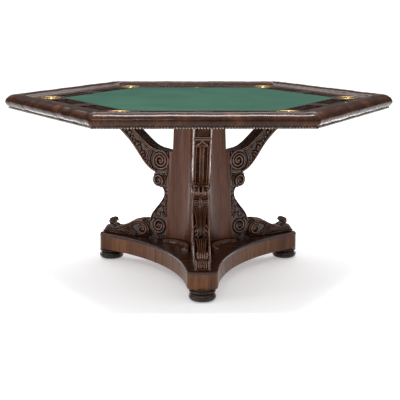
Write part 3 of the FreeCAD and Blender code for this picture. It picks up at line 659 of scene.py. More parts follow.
def panel_ring(share):
    """A panel's section, facing -Y, at a share of its height: mitre, strip, hollow, strip, mitre."""
    vertex = FOOT_VERTEX + share * (HEAD_VERTEX - FOOT_VERTEX)
    corner, centre, radius = hollow_arc(vertex, FOOT_WAIST + share * (HEAD_WAIST - FOOT_WAIST))
    point = vertex * np.array([COS30, -0.5])
    toward = (corner - point) / VERTEX_HALF
    reach = math.asin(min(1.0, corner[0] / radius))
    if -corner[1] > centre:
        reach = math.pi - reach
    turned = np.linspace(reach - 0.02, -reach + 0.02, 56)
    hollow = np.column_stack([radius * np.sin(turned), radius * np.cos(turned) - centre])
    right = np.array([point] + [corner - inset * MM * toward for inset in STRIP_POINTS])
    inner = HOLLOW_SIDE * np.array([[-math.sqrt(3), -1], [math.sqrt(3), -1]])
    section = np.vstack([right, hollow, right[::-1] * [-1, 1], inner])
    return at_height(section, column_low.z + share * (column_high.z - column_low.z))


column_mesh = skin("panel", [panel_ring(share) for share in np.linspace(0, 1, 24)], 42)
add_round("hollow_panel", column_mesh, upright_wood, FACES, "column_panel")
stile_mesh = softened_copy("bracket_stile_front", 1.5 * MM)
add_round("stile", stile_mesh, upright_wood, LEGS, "bracket_stile")

# --- Bead mouldings round the foot of the column ---------------------------------------------------

BEAD_PITCH, BEAD_CLEAR, BEAD_WIDE, BEAD_DEEP, BEAD_STEPS = 0.0118, 0.3 * MM, 0.032, 4.2 * MM, 8
bead_low, bead_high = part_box("bead_mouldings")


def mark_raised(mesh, values):
    """Stores how far each point stands out, which the carved wood's colour follows: lighter on ridges, for
    wear and as a painted highlight, and darker in hollows, as painted shade.
    """
    mesh.attributes.new("raised", "FLOAT", "POINT").data.foreach_set("value", values.ravel())
    return mesh


def bead_mesh():
    """A cove, a fillet, a ribbed roll and a low fillet, swept along a hollow face's foot."""
    _, centre, radius = hollow_arc(FOOT_VERTEX, FOOT_WAIST)
    tall = bead_high.z - bead_low.z
    cove = [(0.0, 1.0), (0.04, 0.99), (0.07, 0.86), (0.14, 0.68), (0.24, 0.58), (0.30, 0.56)]
    fillet = [(0.31, 0.66), (0.38, 0.67), (0.40, 0.52)]
    rolled = np.radians(np.arange(20, 161, 14))
    roll = [(0.40 + 0.20 * (1 - math.cos(a)), 0.50 + 0.24 * math.sin(a)) for a in rolled]
    low = [(0.82, 0.40), (0.84, 0.46), (0.96, 0.44), (1.0, 0.34), (1.0, 0.0), (0.0, 0.0)]
    profile = np.array(cove + fillet + roll + low)
    ribbed = np.zeros(len(profile))
    ribbed[len(cove + fillet) : len(cove + fillet + roll)] = 1
    reach = radius - BEAD_CLEAR - profile[:, 0] * (BEAD_WIDE - BEAD_CLEAR)
    half_turn = math.radians(60)
    count = int(2 * half_turn * (radius - BEAD_WIDE / 2) / (BEAD_PITCH / BEAD_STEPS))
    rings, raised = [], np.zeros((count, len(profile)))
    for step, turned in enumerate(np.linspace(-half_turn, half_turn, count)):
        gap = 1 - abs(math.cos(math.pi * step / BEAD_STEPS))
        up = bead_low.z + (profile[:, 1] * tall - ribbed * BEAD_DEEP * gap**0.9)
        rings.append(np.column_stack([reach * math.sin(turned), reach * math.cos(turned) - centre, up]))
        # rib crowns are marked as standing out and grooves as hollows, so the wood is lighter on the ribs
        # (wear and painted highlight) and darker in the grooves (painted shade)
        raised[step] = ribbed * (0.8 - 1.6 * gap)
    # the cove is marked as a hollow, so its wood is darkened as painted shade
    raised[:, 2 : len(cove)] = -0.5
    return mark_raised(skin("beads", rings, 50), raised)


beads = bead_mesh()
for face, angle in FACES.items():
    stands_for = ["bead_mouldings"] if face == "rear" else []
    add_piece(f"bead_moulding_{face}", beads, bead_wood, stands_for=stands_for, turn=angle)

# --- Plinth and feet --------------------------------------------------------------------------------

PLINTH_HOLLOW, PLINTH_CORNER, PLINTH_WAIST, PLINTH_EDGE = 0.850, 0.034, 0.203, 0.007
# a flat face is closed from this far inside its edge
FACE_INSET = 30 * MM
plinth_low, plinth_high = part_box("plinth_top_board")
plinth_tip = -plinth_low.y


def plinth_ring(inset, height):
    """The plinth's outline at a height, drawn in by an inset: blunt tips, rounded corners and
    hollow sides."""
    tip, corner = plinth_tip - inset, PLINTH_CORNER - inset
    centre = PLINTH_WAIST + PLINTH_HOLLOW
    middle = np.array([centre * COS30, -centre / 2])
    reach = PLINTH_HOLLOW + inset + corner
    corner_y = corner - tip
    corner_middle = np.array([middle[0] - math.sqrt(reach**2 - (middle[1] - corner_y) ** 2), corner_y])
    toward = corner_middle - middle
    meet = math.atan2(-toward[1], -toward[0])
    rounded = corner_middle + corner * circle(np.linspace(-math.pi / 2, meet, 14))
    swept = np.linspace(meet + math.pi, math.radians(150), 40)[1:]
    side = middle + (PLINTH_HOLLOW + inset) * circle(swept)
    blunt = [(x, -tip) for x in np.linspace(0, corner_middle[0], 5)[:-1]]
    half = np.vstack([blunt, rounded, side])
    third = np.vstack([half[:0:-1] * [-1, 1], half])[1:]
    thirds = []
    for angle in LEGS.values():
        c, s = math.cos(math.radians(angle)), math.sin(math.radians(angle))
        thirds.append(third @ np.array([[c, s], [-s, c]]))
    return at_height(np.vstack(thirds), height)


base_low, base_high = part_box("plinth_base")
base_inset = plinth_tip + base_low.y
base_profile = [(FACE_INSET, base_low.z), (1.5 * MM, base_low.z), (0.4 * MM, base_low.z + 0.5 * MM)]
base_profile += [(0, height) for height in np.linspace(base_low.z + 1.6 * MM, base_high.z, 7)]
base_profile.append((FACE_INSET, base_high.z))
base_rings = [plinth_ring(base_inset + inset, height) for inset, height in base_profile]
base_mesh = skin("plinth_block", base_rings, 30)
add_piece("plinth_block", base_mesh, crossband_wood, stands_for=["plinth_base"])
edge_turns = np.radians(np.linspace(8, 90, 9))
edge_height = plinth_high.z - PLINTH_EDGE
board_profile = [(FACE_INSET, plinth_low.z), (1.2 * MM, plinth_low.z)]
board_profile += [(0, plinth_low.z + 1.2 * MM), (0, edge_height)]
for turned in edge_turns:
    inset = PLINTH_EDGE * (1 - math.cos(turned))
    board_profile.append((inset, edge_height + PLINTH_EDGE * math.sin(turned)))
board_profile.append((FACE_INSET, plinth_high.z))
plinth_board = skin("plinth_board", [plinth_ring(*p) for p in board_profile], 30)
add_piece("plinth_board", plinth_board, plinth_wood, stands_for=["plinth_top_board"])

foot_low, foot_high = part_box("bun_foot_front")


def foot_profile():
    """A squashed bun under a thin collar, as (radius, height)."""
    radius, sole = (foot_high.x - foot_low.x) / 2, foot_low.z
    bun = rounding(radius - 16 * MM, sole + 16 * MM, 16 * MM, -88, 75, 16)
    neck = [(radius - 12.5 * MM, sole + 32.5 * MM), (radius - 13 * MM, sole + 33.5 * MM)]
    collar = rounding(radius - 5.5 * MM, sole + 38.5 * MM, 4.5 * MM, -90, 90, 12)
    top = [(radius - 12 * MM, sole + 44 * MM)]
    top += [(reach, foot_high.z) for reach in (radius - 12 * MM, 1 * MM, 0)]
    return [(0, sole), (1 * MM, sole)] + bun + neck + collar + top


foot_mesh = lathe("foot", foot_profile(), np.array((foot_low + foot_high) / 2), sharp=50)
add_round("turned_foot", foot_mesh, turned_wood, LEGS, "bun_foot")

# --- Carved brackets ------------------------------------------------------------------------------
# The carved pieces are worked as solids: a block has its outline in the bracket's own plane, given as
# (out from the table's axis, up) in millimetres, and its two sides and its edge are cut by reliefs.
# GROUND is how far the relief's ground lies below the sides' faces. A point that stands RELIEF_FULL
# out from its smoothed surroundings gets the whole colour change: lighter on a ridge, for wear and as
# a painted highlight, and darker in a hollow, as painted shade.

CELL, GROUND, BRACKET_HALF, TOE_HALF, CURL_HALF = 1.5, 5.0, 36.0, 32.0, 22.0
MARGIN, MAP_STEP, JOIN_SOFT, LINE_POINTS, SINK_RAMP = 4, 0.9, 2.5, 60, 4.0
SMOOTH_ROUNDS, SMOOTH_SHARE, RELIEF_ROUNDS, RELIEF_FULL = 2, 0.6, 7, 0.6


def outline_mm(node):
    """The outline of a front bracket piece in its own plane."""
    loop = outline_of(node, (1, 0, 0))
    return np.stack([-loop[:, 1], loop[:, 2]], axis=1) / MM


def to_segments(points, starts, ends):
    """For each point, the distance to the nearest of some segments, and the place along them."""
    best, place, run = np.full(len(points), 1e9), np.zeros(len(points)), 0.0
    for a, b in zip(starts, ends):
        ab = b - a
        long = float(np.hypot(*ab))
        if long < 1e-6:
            continue
        t = np.clip(((points - a) @ ab) / long**2, 0, 1)
        gap = np.hypot(*(points - a - t[:, None] * ab).T)
        nearer = gap < best
        best[nearer] = gap[nearer]
        place[nearer] = run + t[nearer] * long
        run += long
    return best, place


def inside_outline(points, loop):
    """Which points lie inside a closed outline."""
    x, y = points.T
    inside = np.zeros(len(points), bool)
    for (x1, y1), (x2, y2) in zip(loop, np.roll(loop, -1, axis=0)):
        if y1 != y2:
            inside ^= ((y1 > y) != (y2 > y)) & (x < (x2 - x1) * (y - y1) / (y2 - y1) + x1)
    return inside


def round_arc(centre, radius, start, end, count=24):
    """Points round a part of a circle, from one angle in degrees to another."""
    return centre + radius * circle(np.radians(np.linspace(start, end, count)))


class Relief:
    """A height map, 0 at the ground, built from rounded strokes."""

    def __init__(self, low, high, step=MAP_STEP):
        self.step, self.low = step, np.array(low, float)
        count = np.ceil((np.array(high) - self.low) / step).astype(int) + 1
        self.height = np.zeros(count)
        self.x, self.y = (self.low[k] + step * np.arange(count[k]) for k in (0, 1))

    def window(self, low, high):
        """The part of the map between two corners, and its points."""
        a = np.clip(((np.array(low) - self.low) / self.step).astype(int), 0, None)
        b = np.minimum(((np.array(high) - self.low) / self.step).astype(int) + 2, self.height.shape)
        part = tuple(slice(low_at, max(low_at, high_at)) for low_at, high_at in zip(a, b))
        grid = np.stack(np.meshgrid(self.x[part[0]], self.y[part[1]], indexing="ij"), axis=-1)
        return part, grid.reshape(-1, 2)

    def raise_to(self, part, rise):
        """Raises a part of the map to a surface, where that is higher."""
        self.height[part] = np.maximum(self.height[part], rise.reshape(self.height[part].shape))

    def stroke(self, points, width, height, taper=(1.0, 1.0), sharp=0.5, hollow=0.0):
        """A rounded ridge along a line. Its half-width and height run from one end to the other."""
        points = np.asarray(points, float)
        part, grid = self.window(points.min(axis=0) - width, points.max(axis=0) + width)
        if len(grid):
            gap, place = to_segments(grid, points[:-1], points[1:])
            along = np.clip(place / max(1e-6, np.hypot(*np.diff(points, axis=0).T).sum()), 0, 1)
            size = taper[0] + (taper[1] - taper[0]) * along
            share = np.clip(gap / np.maximum(width * size, 0.3), 0, 1)
            shape = (1 - share**2) ** sharp * (1 - hollow * (1 - share) ** 2)
            self.raise_to(part, height * (0.45 + 0.55 * size) * shape)

    def pair(self, points, *size, **shape):
        """The same ridge on both sides of an edge relief's middle line."""
        points = np.asarray(points, float)
        self.stroke(points, *size, **shape)
        self.stroke(points * [1, -1], *size, **shape)

    def across(self, at, half, width, height):
        """A ridge straight across an edge relief."""
        self.stroke([(at, -half), (at, half)], width, height)

    def volute(self, centre, outer, inner, turns, start, hand, width, height):
        """A ridge that winds in evenly to a round eye."""
        t = np.linspace(0, 1, int(36 * turns) + 2)
        turned = np.radians(start + hand * 360 * turns * t)
        reach = (outer + (inner - outer) * t)[:, None]
        self.stroke(centre + reach * circle(turned), width, height, taper=(1.0, 0.8))
        self.boss(centre, inner * 0.9, height * 1.15)

    def boss(self, centre, radius, height, petals=0):
        """A round button, or a small flower."""
        part, grid = self.window(np.array(centre) - radius * 1.6, np.array(centre) + radius * 1.6)
        if len(grid):
            away = grid - centre
            reach = np.hypot(*away.T)
            lobes = 0.16 * np.cos(petals * np.arctan2(away[:, 1], away[:, 0])) if petals else 0
            limit = radius * (1 + lobes)
            rise = height * np.sqrt(np.clip(1 - (reach / limit) ** 2, 0, 1))
            if petals:
                rise *= 0.72 + 0.28 * np.cos(np.clip(reach / radius * 9, 0, 6.28)) * (reach < radius)
            self.raise_to(part, rise)

    def leaf(self, stem, size, lobes, hand, height, curl=40, width=3.6):
        """An acanthus leaf: curling lobes that spring from one side, or both, of a curved stem."""
        stem = curve_through(stem, 40)
        for number in range(lobes):
            share = (number + 0.35) / lobes
            at = int(share * 36)
            root, ahead = stem[at], stem[min(at + 3, 39)] - stem[at]
            along, long = math.atan2(ahead[1], ahead[0]), size * (1 - 0.45 * share)
            for side in (hand,) if hand else (-1, 1):
                bend = np.radians(np.linspace(14, 14 + curl + 34 * (1 - share), 7))
                lobe = root + np.cumsum(circle(along + side * bend), axis=0) * long / len(bend)
                lobe = np.vstack([root, lobe])
                self.stroke(lobe, width, height * 0.85, taper=(0.55, 1.0), hollow=0.35)
                self.boss(lobe[-1], width * 0.9, height)
        self.stroke(stem, width * 0.55, height * 1.05, taper=(1.0, 0.5))

    def beads(self, line, pitch, radius, height):
        """A row of small buttons along a line."""
        long = np.hypot(*np.diff(np.asarray(line, float), axis=0).T).sum()
        for centre in curve_through(line, max(2, int(long / pitch) + 1)):
            self.boss(centre, radius, height)

    def at(self, points):
        """The height at some points, between the map's own."""
        top = [size - 1.001 for size in self.height.shape]
        u, v = (np.clip((points[:, k] - self.low[k]) / self.step, 0, top[k]) for k in (0, 1))
        i, j = u.astype(int), v.astype(int)
        a, b, h = u - i, v - j, self.height
        low = h[i, j] * (1 - a) + h[i + 1, j] * a
        return low * (1 - b) + (h[i, j + 1] * (1 - a) + h[i + 1, j + 1] * a) * b


def surface_nets(field, origin, cell):
    """Quads round the places where a sampled field is below zero."""
    inside = field < 0
    corners = [(a, b, c) for a in (0, 1) for b in (0, 1) for c in (0, 1)]
    shape = np.array(field.shape) - 1
    count = np.zeros(shape, int)
    for a, b, c in corners:
        count += inside[a : a + shape[0], b : b + shape[1], c : c + shape[2]]
    cells = np.argwhere((count > 0) & (count < 8))
    total, hits = np.zeros((len(cells), 3)), np.zeros(len(cells))
    i, j, k = cells.T
    for a, b, c in corners:
        for axis in range(3):
            if (a, b, c)[axis]:
                continue
            end = [a, b, c]
            end[axis] = 1
            f0, f1 = field[i + a, j + b, k + c], field[i + end[0], j + end[1], k + end[2]]
            cross = (f0 < 0) != (f1 < 0)
            point = np.tile(np.array([a, b, c], float), (len(cells), 1))
            point[:, axis] = np.where(cross, f0 / np.where(cross, f0 - f1, 1), 0)
            total += point * cross[:, None]
            hits += cross
    points = origin + cell * (cells + total / hits[:, None])
    number = np.full(shape, -1)
    number[i, j, k] = np.arange(len(cells))
    faces = []
    for axis in range(3):
        low, high = [slice(None)] * 3, [slice(None)] * 3
        low[axis], high[axis] = slice(0, -1), slice(1, None)
        at = np.argwhere(inside[tuple(low)] != inside[tuple(high)])
        u, v = [x for x in range(3) if x != axis]
        at = at[(at[:, u] > 0) & (at[:, v] > 0) & (at[:, u] < shape[u]) & (at[:, v] < shape[v])]
        square = []
        for du, dv in ((-1, -1), (0, -1), (0, 0), (-1, 0)):
            q = at.copy()
            q[:, u] += du
            q[:, v] += dv
            square.append(number[q[:, 0], q[:, 1], q[:, 2]])
        square = np.stack(square, axis=1)
        starts_in = inside[at[:, 0], at[:, 1], at[:, 2]]
        flip = ~starts_in if axis != 1 else starts_in
        square[flip] = square[flip][:, ::-1]
        faces.append(square)
    return points, np.vstack(faces)


def gathered(corners, values, count):
    """The sum of some rows of three at each point they belong to."""
    return np.stack([np.bincount(corners, weights=values[:, k], minlength=count) for k in range(3)], axis=1)


def smoothed(points, faces, rounds):
    """Points drawn towards the mean of their neighbours, a few times over."""
    pairs = np.vstack([faces[:, [k, (k + 1) % 4]] for k in range(4)])
    pairs = np.vstack([pairs, pairs[:, ::-1]])
    count = np.bincount(pairs[:, 0], minlength=len(points)).astype(float)
    for _ in range(rounds):
        mean = gathered(pairs[:, 0], points[pairs[:, 1]], len(points)) / count[:, None]
        points = (1 - SMOOTH_SHARE) * points + SMOOTH_SHARE * mean
    return points


def relief_for_wear_and_shade(points, faces):
    """How far each point stands out from its surroundings, from -1 in a hollow to 1 on a ridge."""
    a, b, c, d = (points[faces[:, k]] for k in range(4))
    normal = np.cross(c - a, d - b)
    total = sum(gathered(faces[:, k], normal, len(points)) for k in range(4))
    total /= np.maximum(np.linalg.norm(total, axis=1), 1e-9)[:, None]
    volume = np.sum(a * np.cross(b, c)) + np.sum(a * np.cross(c, d))
    out = np.sum((points - smoothed(points, faces, RELIEF_ROUNDS)) * total, axis=1) * np.sign(volume)
    return np.clip(out / RELIEF_FULL, -1, 1)


class Block:
    """A block with its outline sawn, a relief on its two sides and one along its edge."""

    def __init__(self, loop, half, rounding=2.2):
        loop = np.asarray(loop, float)
        after = np.roll(loop, -1, axis=0)
        self.loop = loop if np.sum(loop[:, 0] * after[:, 1] - loop[:, 1] * after[:, 0]) > 0 else loop[::-1]
        self.ends = np.roll(self.loop, -1, axis=0)
        self.half, self.rounding = half, rounding
        self.low, self.high = loop.min(axis=0) - MARGIN, loop.max(axis=0) + MARGIN
        self.side = Relief(self.low, self.high)
        self.edge = Relief((0, -half), (float(np.hypot(*(self.ends - self.loop).T).sum()), half))
        self.sunk = np.zeros(self.edge.height.shape)

    def along(self, *points):
        """How far round the outline the nearest place to each point is."""
        return to_segments(np.array(points, float), self.loop, self.ends)[1].tolist()

    def sink(self, start, end, depth):
        """Lowers the ground of the edge relief between two places round the outline."""
        low, high = sorted(self.along(start, end))
        after, before = self.edge.x - low, high - self.edge.x
        share = np.clip(after / SINK_RAMP, 0, 1) * np.clip(before / SINK_RAMP, 0, 1)
        self.sunk = np.maximum(self.sunk, depth * share[:, None])

    def field(self, grid, depths):
        """Below zero inside the block, at the points of a flat grid carried to some depths."""
        gap, place = to_segments(grid, self.loop, self.ends)
        flat = np.where(inside_outline(grid, self.loop), -gap, gap)
        thick = self.half - GROUND + self.side.at(grid)
        soft = np.interp(grid[:, 0], *self.rounding) if isinstance(self.rounding, tuple) else self.rounding
        edge = Relief(self.edge.low, self.edge.low, self.edge.step)
        edge.height = self.edge.height - self.sunk
        layers = []
        for depth in depths:
            across = np.full(len(place), np.clip(depth, -self.half, self.half))
            cut = flat - edge.at(np.column_stack([place, across]))
            side = abs(depth) - thick
            blend = np.clip(0.5 + (cut - side) / (2 * soft), 0, 1)
            layers.append(side + (cut - side) * blend + soft * blend * (1 - blend))
        return np.stack(layers, axis=1)


def carved_mesh(name, blocks):
    """The carved surface round some blocks that grow into each other, in the front leg's place."""
    low = np.min([b.low for b in blocks], axis=0)
    high = np.max([b.high for b in blocks], axis=0)
    wide = 2 * max(b.half for b in blocks) + 4 * CELL
    origin = np.array([*low, -wide / 2])
    counts = np.ceil(np.array([*(high - low), wide]) / CELL).astype(int) + 1
    r, z, depths = (origin[k] + CELL * np.arange(counts[k]) for k in range(3))
    grid = np.stack(np.meshgrid(r, z, indexing="ij"), axis=-1).reshape(-1, 2)
    field = blocks[0].field(grid, depths)
    for block in blocks[1:]:
        other = block.field(grid, depths)
        blend = np.clip(0.5 + (other - field) / (2 * JOIN_SOFT), 0, 1)
        field = other + (field - other) * blend - JOIN_SOFT * blend * (1 - blend)
    points, faces = surface_nets(field.reshape(tuple(counts)), origin, CELL)
    points = smoothed(points, faces, SMOOTH_ROUNDS)
    placed = np.stack([points[:, 2], -points[:, 0], points[:, 1]], axis=1) * MM
    return mark_raised(new_mesh(name, placed, faces), relief_for_wear_and_shade(points, faces))


def offset_line(points, distance):
    """A smooth line beside another, to its left by a distance."""
    line = curve_through(points, LINE_POINTS)
    ahead = np.gradient(line, axis=0)
    ahead /= np.hypot(*ahead.T)[:, None]
    return line + distance * np.stack([-ahead[:, 1], ahead[:, 0]], axis=1)


def husk(side, top, long, lean, width):
    """A bellflower: three petals that hang from a small cup."""
    for turned in (lean - 0.42, lean, lean + 0.42):
        tip = (top[0] + long * math.sin(turned), top[1] - long * math.cos(turned))
        side.stroke([top, tip], width, 5.6, taper=(0.5, 1.0), hollow=0.25)
    side.boss(top, width * 1.1, 6.4)


ARM_TOP = [(160, 526), (187, 529), (232, 547), (301, 602), (352, 648), (408, 697)]
ARM_UNDER = [(486, 696), (440, 650), (388, 603), (332, 552), (283, 490), (242, 446), (206, 426)]
ARM_VOLUTE, BALL, LEG_VOLUTE = (178, 481), (190, 392), (187, 188)


def carved_arm():
    """The arm: a volute, acanthus along its side, and a fielded strip under it."""
    arm = Block(outline_mm("arm_front"), BRACKET_HALF)
    side = arm.side
    side.stroke(offset_line(ARM_TOP, -4.5), 3.6, 6.4)
    side.stroke(offset_line(ARM_TOP, -11.5), 2.6, 5.0)
    side.stroke(offset_line(ARM_UNDER, -5.5), 6.2, 5.4, sharp=0.3)
    side.stroke([(143, 428), (141, 520)], 3.0, 5.2)
    side.volute(ARM_VOLUTE, 45, 10, 2.6, 62, 1, 6.4, 7.0)
    for number in range(3):
        ripple = round_arc(ARM_VOLUTE, 54 + 8 * number, -36 + 13 * number, 42 + 4 * number)
        side.stroke(ripple, 3.6, 6.0, taper=(0.7, 1.0))
    for number, at in enumerate(((236, 470), (254, 486), (262, 512), (252, 536))):
        side.boss(at, 6.2 - 0.5 * number, 7.6)
    for lobes, *stem in (
        (5, (262, 478), (276, 494), (292, 524), (292, 560)),
        (6, (284, 506), (316, 548), (340, 590), (352, 622)),
        (6, (336, 572), (374, 616), (402, 650), (422, 690)),
        (4, (396, 630), (428, 662), (450, 686), (462, 698)),
    ):
        side.leaf(stem, 26, lobes, 0, 6.6, curl=64, width=4.1)
    for centre in ((272, 484), (318, 538), (372, 594), (424, 646)):
        side.boss(centre, 8.5, 7.8, petals=6)
    side.beads([(238, 452), (262, 474)], 8, 3.2, 6.2)
    # the under face is a fielded strip between reeds, closed at the top by a leaf and a cross roll
    foot, roll_low, roll_high, head = (206, 426), (392, 606), (441, 651), (486, 696)
    arm.sink(foot, head, 6.5)
    run, face = arm.along(foot, roll_low, roll_high, head), arm.edge
    toward = 1 if run[1] > run[0] else -1
    shift = [run[1] + toward * k for k in (-4, 6, 22, 34, 46)]
    face.stroke([(run[0] + 3 * toward, 0), (shift[0], 0)], 10.5, 6.6, sharp=0.3)
    face.pair([(run[0], 31.5), (run[3], 31.5)], 4.0, 6.6)
    face.pair([(run[0], 23.5), (shift[0], 23.5)], 2.6, 5.2)
    for reach, tip in ((3, 0.0), (12, 0.6), (20, 0.9)):
        petal = [(shift[3], 2), (shift[2], reach * 0.3), (shift[1] - 4 * toward * (1 - tip), reach)]
        face.pair(curve_through(petal, 14), 4.4, 8.0, taper=(0.7, 1.0), hollow=0.2)
    face.across(shift[0], 28, 2.6, 5.4)
    face.across(shift[4], 35, 8.5, 9.0)
    face.across(shift[4] + 13 * toward, 35, 3.0, 6.0)
    return [arm]


LEG_NECK = [(161, 360), (153, 335), (178, 285), (216, 238), (229, 206)]


def carved_leg_scroll():
    """The leg: a ball scroll over a volute, bellflowers on the side, leaves down the front."""
    leg = Block(outline_mm("leg_scroll_front"), BRACKET_HALF)
    side = leg.side
    side.volute(BALL, 24.5, 9, 1.3, 215, -1, 6.0, 7.2)
    for radius, start, end, width, rise in ((43, 120, 205, 3.4, 6.0), (35, 118, 190, 2.6, 5.2)):
        side.stroke(round_arc((186, 384), radius, start, end), width, rise, taper=(0.6, 1.0))
    side.stroke(offset_line(LEG_NECK, 4.0), 3.0, 6.2)
    side.stroke([(140, 132), (140, 418)], 2.6, 5.2)
    for top, long, lean, width in (
        ((147, 362), 14, 0.02, 2.2),
        ((148, 346), 15, 0.05, 2.4),
        ((151, 326), 19, 0.18, 3.0),
        ((158, 303), 22, 0.32, 3.6),
        ((169, 277), 24, 0.42, 4.2),
        ((184, 254), 20, 0.5, 4.2),
    ):
        husk(side, top, long, lean, width)
    side.leaf([(151, 306), (149, 276), (152, 250), (160, 230)], 17, 6, -1, 6.0, curl=50, width=3.3)
    side.boss((197, 238), 7.5, 7.6, petals=6)
    side.boss((163, 243), 5.5, 7.0)
    side.volute(LEG_VOLUTE, 36, 14, 1.7, 48, -1, 6.2, 7.0)
    side.boss(LEG_VOLUTE, 7.0, 8.8)
    for number in range(4):
        rib = round_arc(LEG_VOLUTE, 40, -78 + 17 * number, -70 + 17 * number, 4)
        side.stroke(rib, 4.0, 6.4, taper=(0.8, 1.0))
        start = np.array([150.0 + 13 * number, 130.0])
        side.stroke([start, start + (5, 13 - 2.5 * abs(number - 1.5))], 4.2, 5.6, taper=(1.0, 0.7))
    # the front of the ball, a crown of leaves, and a long ribbed leaf that hangs to the volute
    leg.sink((207, 148), (197, 421), 6.5)
    bottom, swell, volute_top, tips = leg.along((207, 148), (231, 182), (229, 206), (222, 228))
    leaf_top, collar = leg.along((160, 318), (154, 345))
    ball_low, ball_mid, ball_high = leg.along((180, 363), (219, 384), (197, 421))
    face, up = leg.edge, (1 if collar > volute_top else -1)
    face.pair([(bottom, 33), (collar, 32)], 2.8, 6.0)
    face.pair([(ball_low, 32), (ball_high, 32)], 4.2, 7.0)
    for low_at, mid_at, high_at in ((3.5, 4.5, 9), (8, 11, 18), (13, 18, 27)):
        line = [(swell, low_at), (volute_top, low_at), (tips, low_at + 1)]
        line += [((tips + leaf_top) / 2, mid_at), (leaf_top - 4 * up, high_at)]
        face.pair(curve_through(line, 30), 4.4, 7.0, taper=(0.85, 1.0), hollow=0.15)
    for at, reach in ((tips, 24), (tips - 16 * up, 21), (tips + 18 * up, 27)):
        spray = [(at + 10 * up, reach - 12), (at + 4 * up, reach - 5), (at - 4 * up, reach)]
        face.pair(curve_through(spray, 10), 4.4, 8.8, taper=(0.6, 1.0))
    for number in range(4):
        root = leaf_top + (8 * number - 4) * up
        out = [(root, 3), (root + 8 * up, 12 + number), (root + 9 * up, 25 + number)]
        face.pair(curve_through(out, 12), 4.0, 8.0, taper=(0.8, 1.0), hollow=0.3)
    petal = [(ball_low + 6 * up, 3), (ball_mid - 4 * up, 9), (ball_mid + 8 * up, 18)]
    face.pair(curve_through(petal, 12), 6.0, 8.6, taper=(0.7, 1.0))
    face.pair([(bottom, 12), (swell - 6 * up, 16)], 4.6, 6.0)
    face.stroke([(swell, 0), (leaf_top + 4 * up, 0)], 2.6, 8.4, taper=(1.3, 0.9))
    face.boss((ball_mid + 4 * up, 0), 7.0, 9.0)
    face.across(ball_low + 2 * up, 28, 3.6, 6.6)
    face.across(ball_high - 10 * up, 28, 8.0, 6.6)
    return [leg]


HEEL, HEEL_RADIUS, PLINTH_TOP = (272.5, 166), 41, 125
BACK = [(272.5, 207), (300, 204), (323, 197), (345, 184), (368, 173), (392, 163), (420, 157)]
TOE = [(420, 157), (446, 165), (464, 161), (478, 146), (487, 130)]
CURL = [(432, 155), (436, 168), (430, 180), (436, 190), (447, 193), (457, 187), (461, 175), (460, 163)]


def carved_plinth_scroll():
    """The scroll on the plinth: a rolled heel, a leafy toe and an upright curl."""
    heel = round_arc(HEEL, HEEL_RADIUS, 235, 90, 30)
    body = np.vstack([heel, curve_through(BACK, 60)[1:], [(420, PLINTH_TOP), (heel[0][0], PLINTH_TOP)]])
    body = Block(body, BRACKET_HALF, rounding=([245, 330, 420], [14, 6, 5]))
    toe = np.vstack([curve_through(TOE, 40), [(487, PLINTH_TOP), (404, PLINTH_TOP), (404, 150)]])
    toe = Block(toe, TOE_HALF, rounding=4)
    curl = Block(np.vstack([curve_through(CURL, 60), [(446, 150)]]), CURL_HALF, rounding=5)
    side = body.side
    ring = (275, 161)
    side.volute(ring, 24.5, 9, 1.3, 95, 1, 5.8, 7.2)
    side.stroke(offset_line(BACK, -5), 4.4, 6.6, taper=(1.0, 0.8))
    inner = np.vstack([round_arc(ring, 33.5, 200, 88), offset_line(BACK, -15)[14:]])
    side.stroke(inner, 3.4, 6.0, taper=(1.0, 0.6))
    side.leaf([(303, 140), (318, 152), (330, 164), (334, 178)], 16, 5, -1, 6.4, curl=55, width=3.6)
    side.leaf([(306, 134), (334, 140), (366, 146), (404, 146)], 17, 8, 0, 6.2, curl=42, width=3.4)
    side.beads([(300, 129), (412, 129)], 8, 3.0, 5.0)
    low_stem = [(408, 132), (430, 138), (450, 140), (470, 134)]
    high_stem = [(404, 146), (424, 152), (446, 158)]
    for stem, hand in ((low_stem, 1), (high_stem, -1)):
        toe.side.leaf(stem, 15, 6, hand, 6.4, curl=44, width=3.4)
    toe.side.beads([(412, 129), (480, 128)], 8, 3.2, 5.4)
    for angle in np.linspace(8, 172, 7):
        ray = np.array([math.cos(math.radians(angle)), math.sin(math.radians(angle))])
        curl.side.stroke([(446, 168) + 5 * ray, (446, 168) + 25 * ray], 3.0, 7.0, taper=(0.6, 1.1))
    # over the back runs a leaf with a raised vein; flutes cross the curl, and petals lie on the toe
    body.sink((258, 204), (414, 158), 5.5)
    face = body.edge
    heel_top, rise, dip = body.along((272.5, 207), (330, 193), (404, 160))
    face.pair([(heel_top, 31), (dip, 29)], 3.6, 6.4)
    for low_at, high_at in ((5, 9), (11, 20)):
        line = [(dip, low_at), (rise, (low_at + high_at) / 2), (heel_top, high_at)]
        face.pair(curve_through(line, 20), 4.4, 6.6, taper=(0.7, 1.0), hollow=0.2)
    face.stroke([(dip, 0), (heel_top, 0)], 3.2, 7.4, taper=(0.8, 1.2))
    toe.sink((424, 158), (486, 132), 5.5)
    top, brow, tip = toe.along((430, 161), (466, 160), (486, 132))
    for number in range(3):
        out = [(brow, 4 + 9 * number), ((brow + tip) / 2, 6 + 9.5 * number), (tip, 5 + 9 * number)]
        toe.edge.pair(curve_through(out, 12), 4.6, 7.0, taper=(1.0, 0.9), hollow=0.15)
    toe.edge.pair([(top, 26), (brow, 27)], 4.6, 6.6)
    toe.edge.across(brow, 30, 3.2, 6.6)
    toe.edge.boss(((brow + tip) / 2, 0), 6.0, 8.0)
    curl.sink((434, 158), (460, 165), 3.5)
    round_curl = curl.along((431, 178), (440, 192), (455, 189), (461, 172))
    for number in range(-2, 3):
        curl.edge.stroke([(at, 8.6 * number) for at in round_curl], 4.2, 5.0)
    return [body, toe, curl]


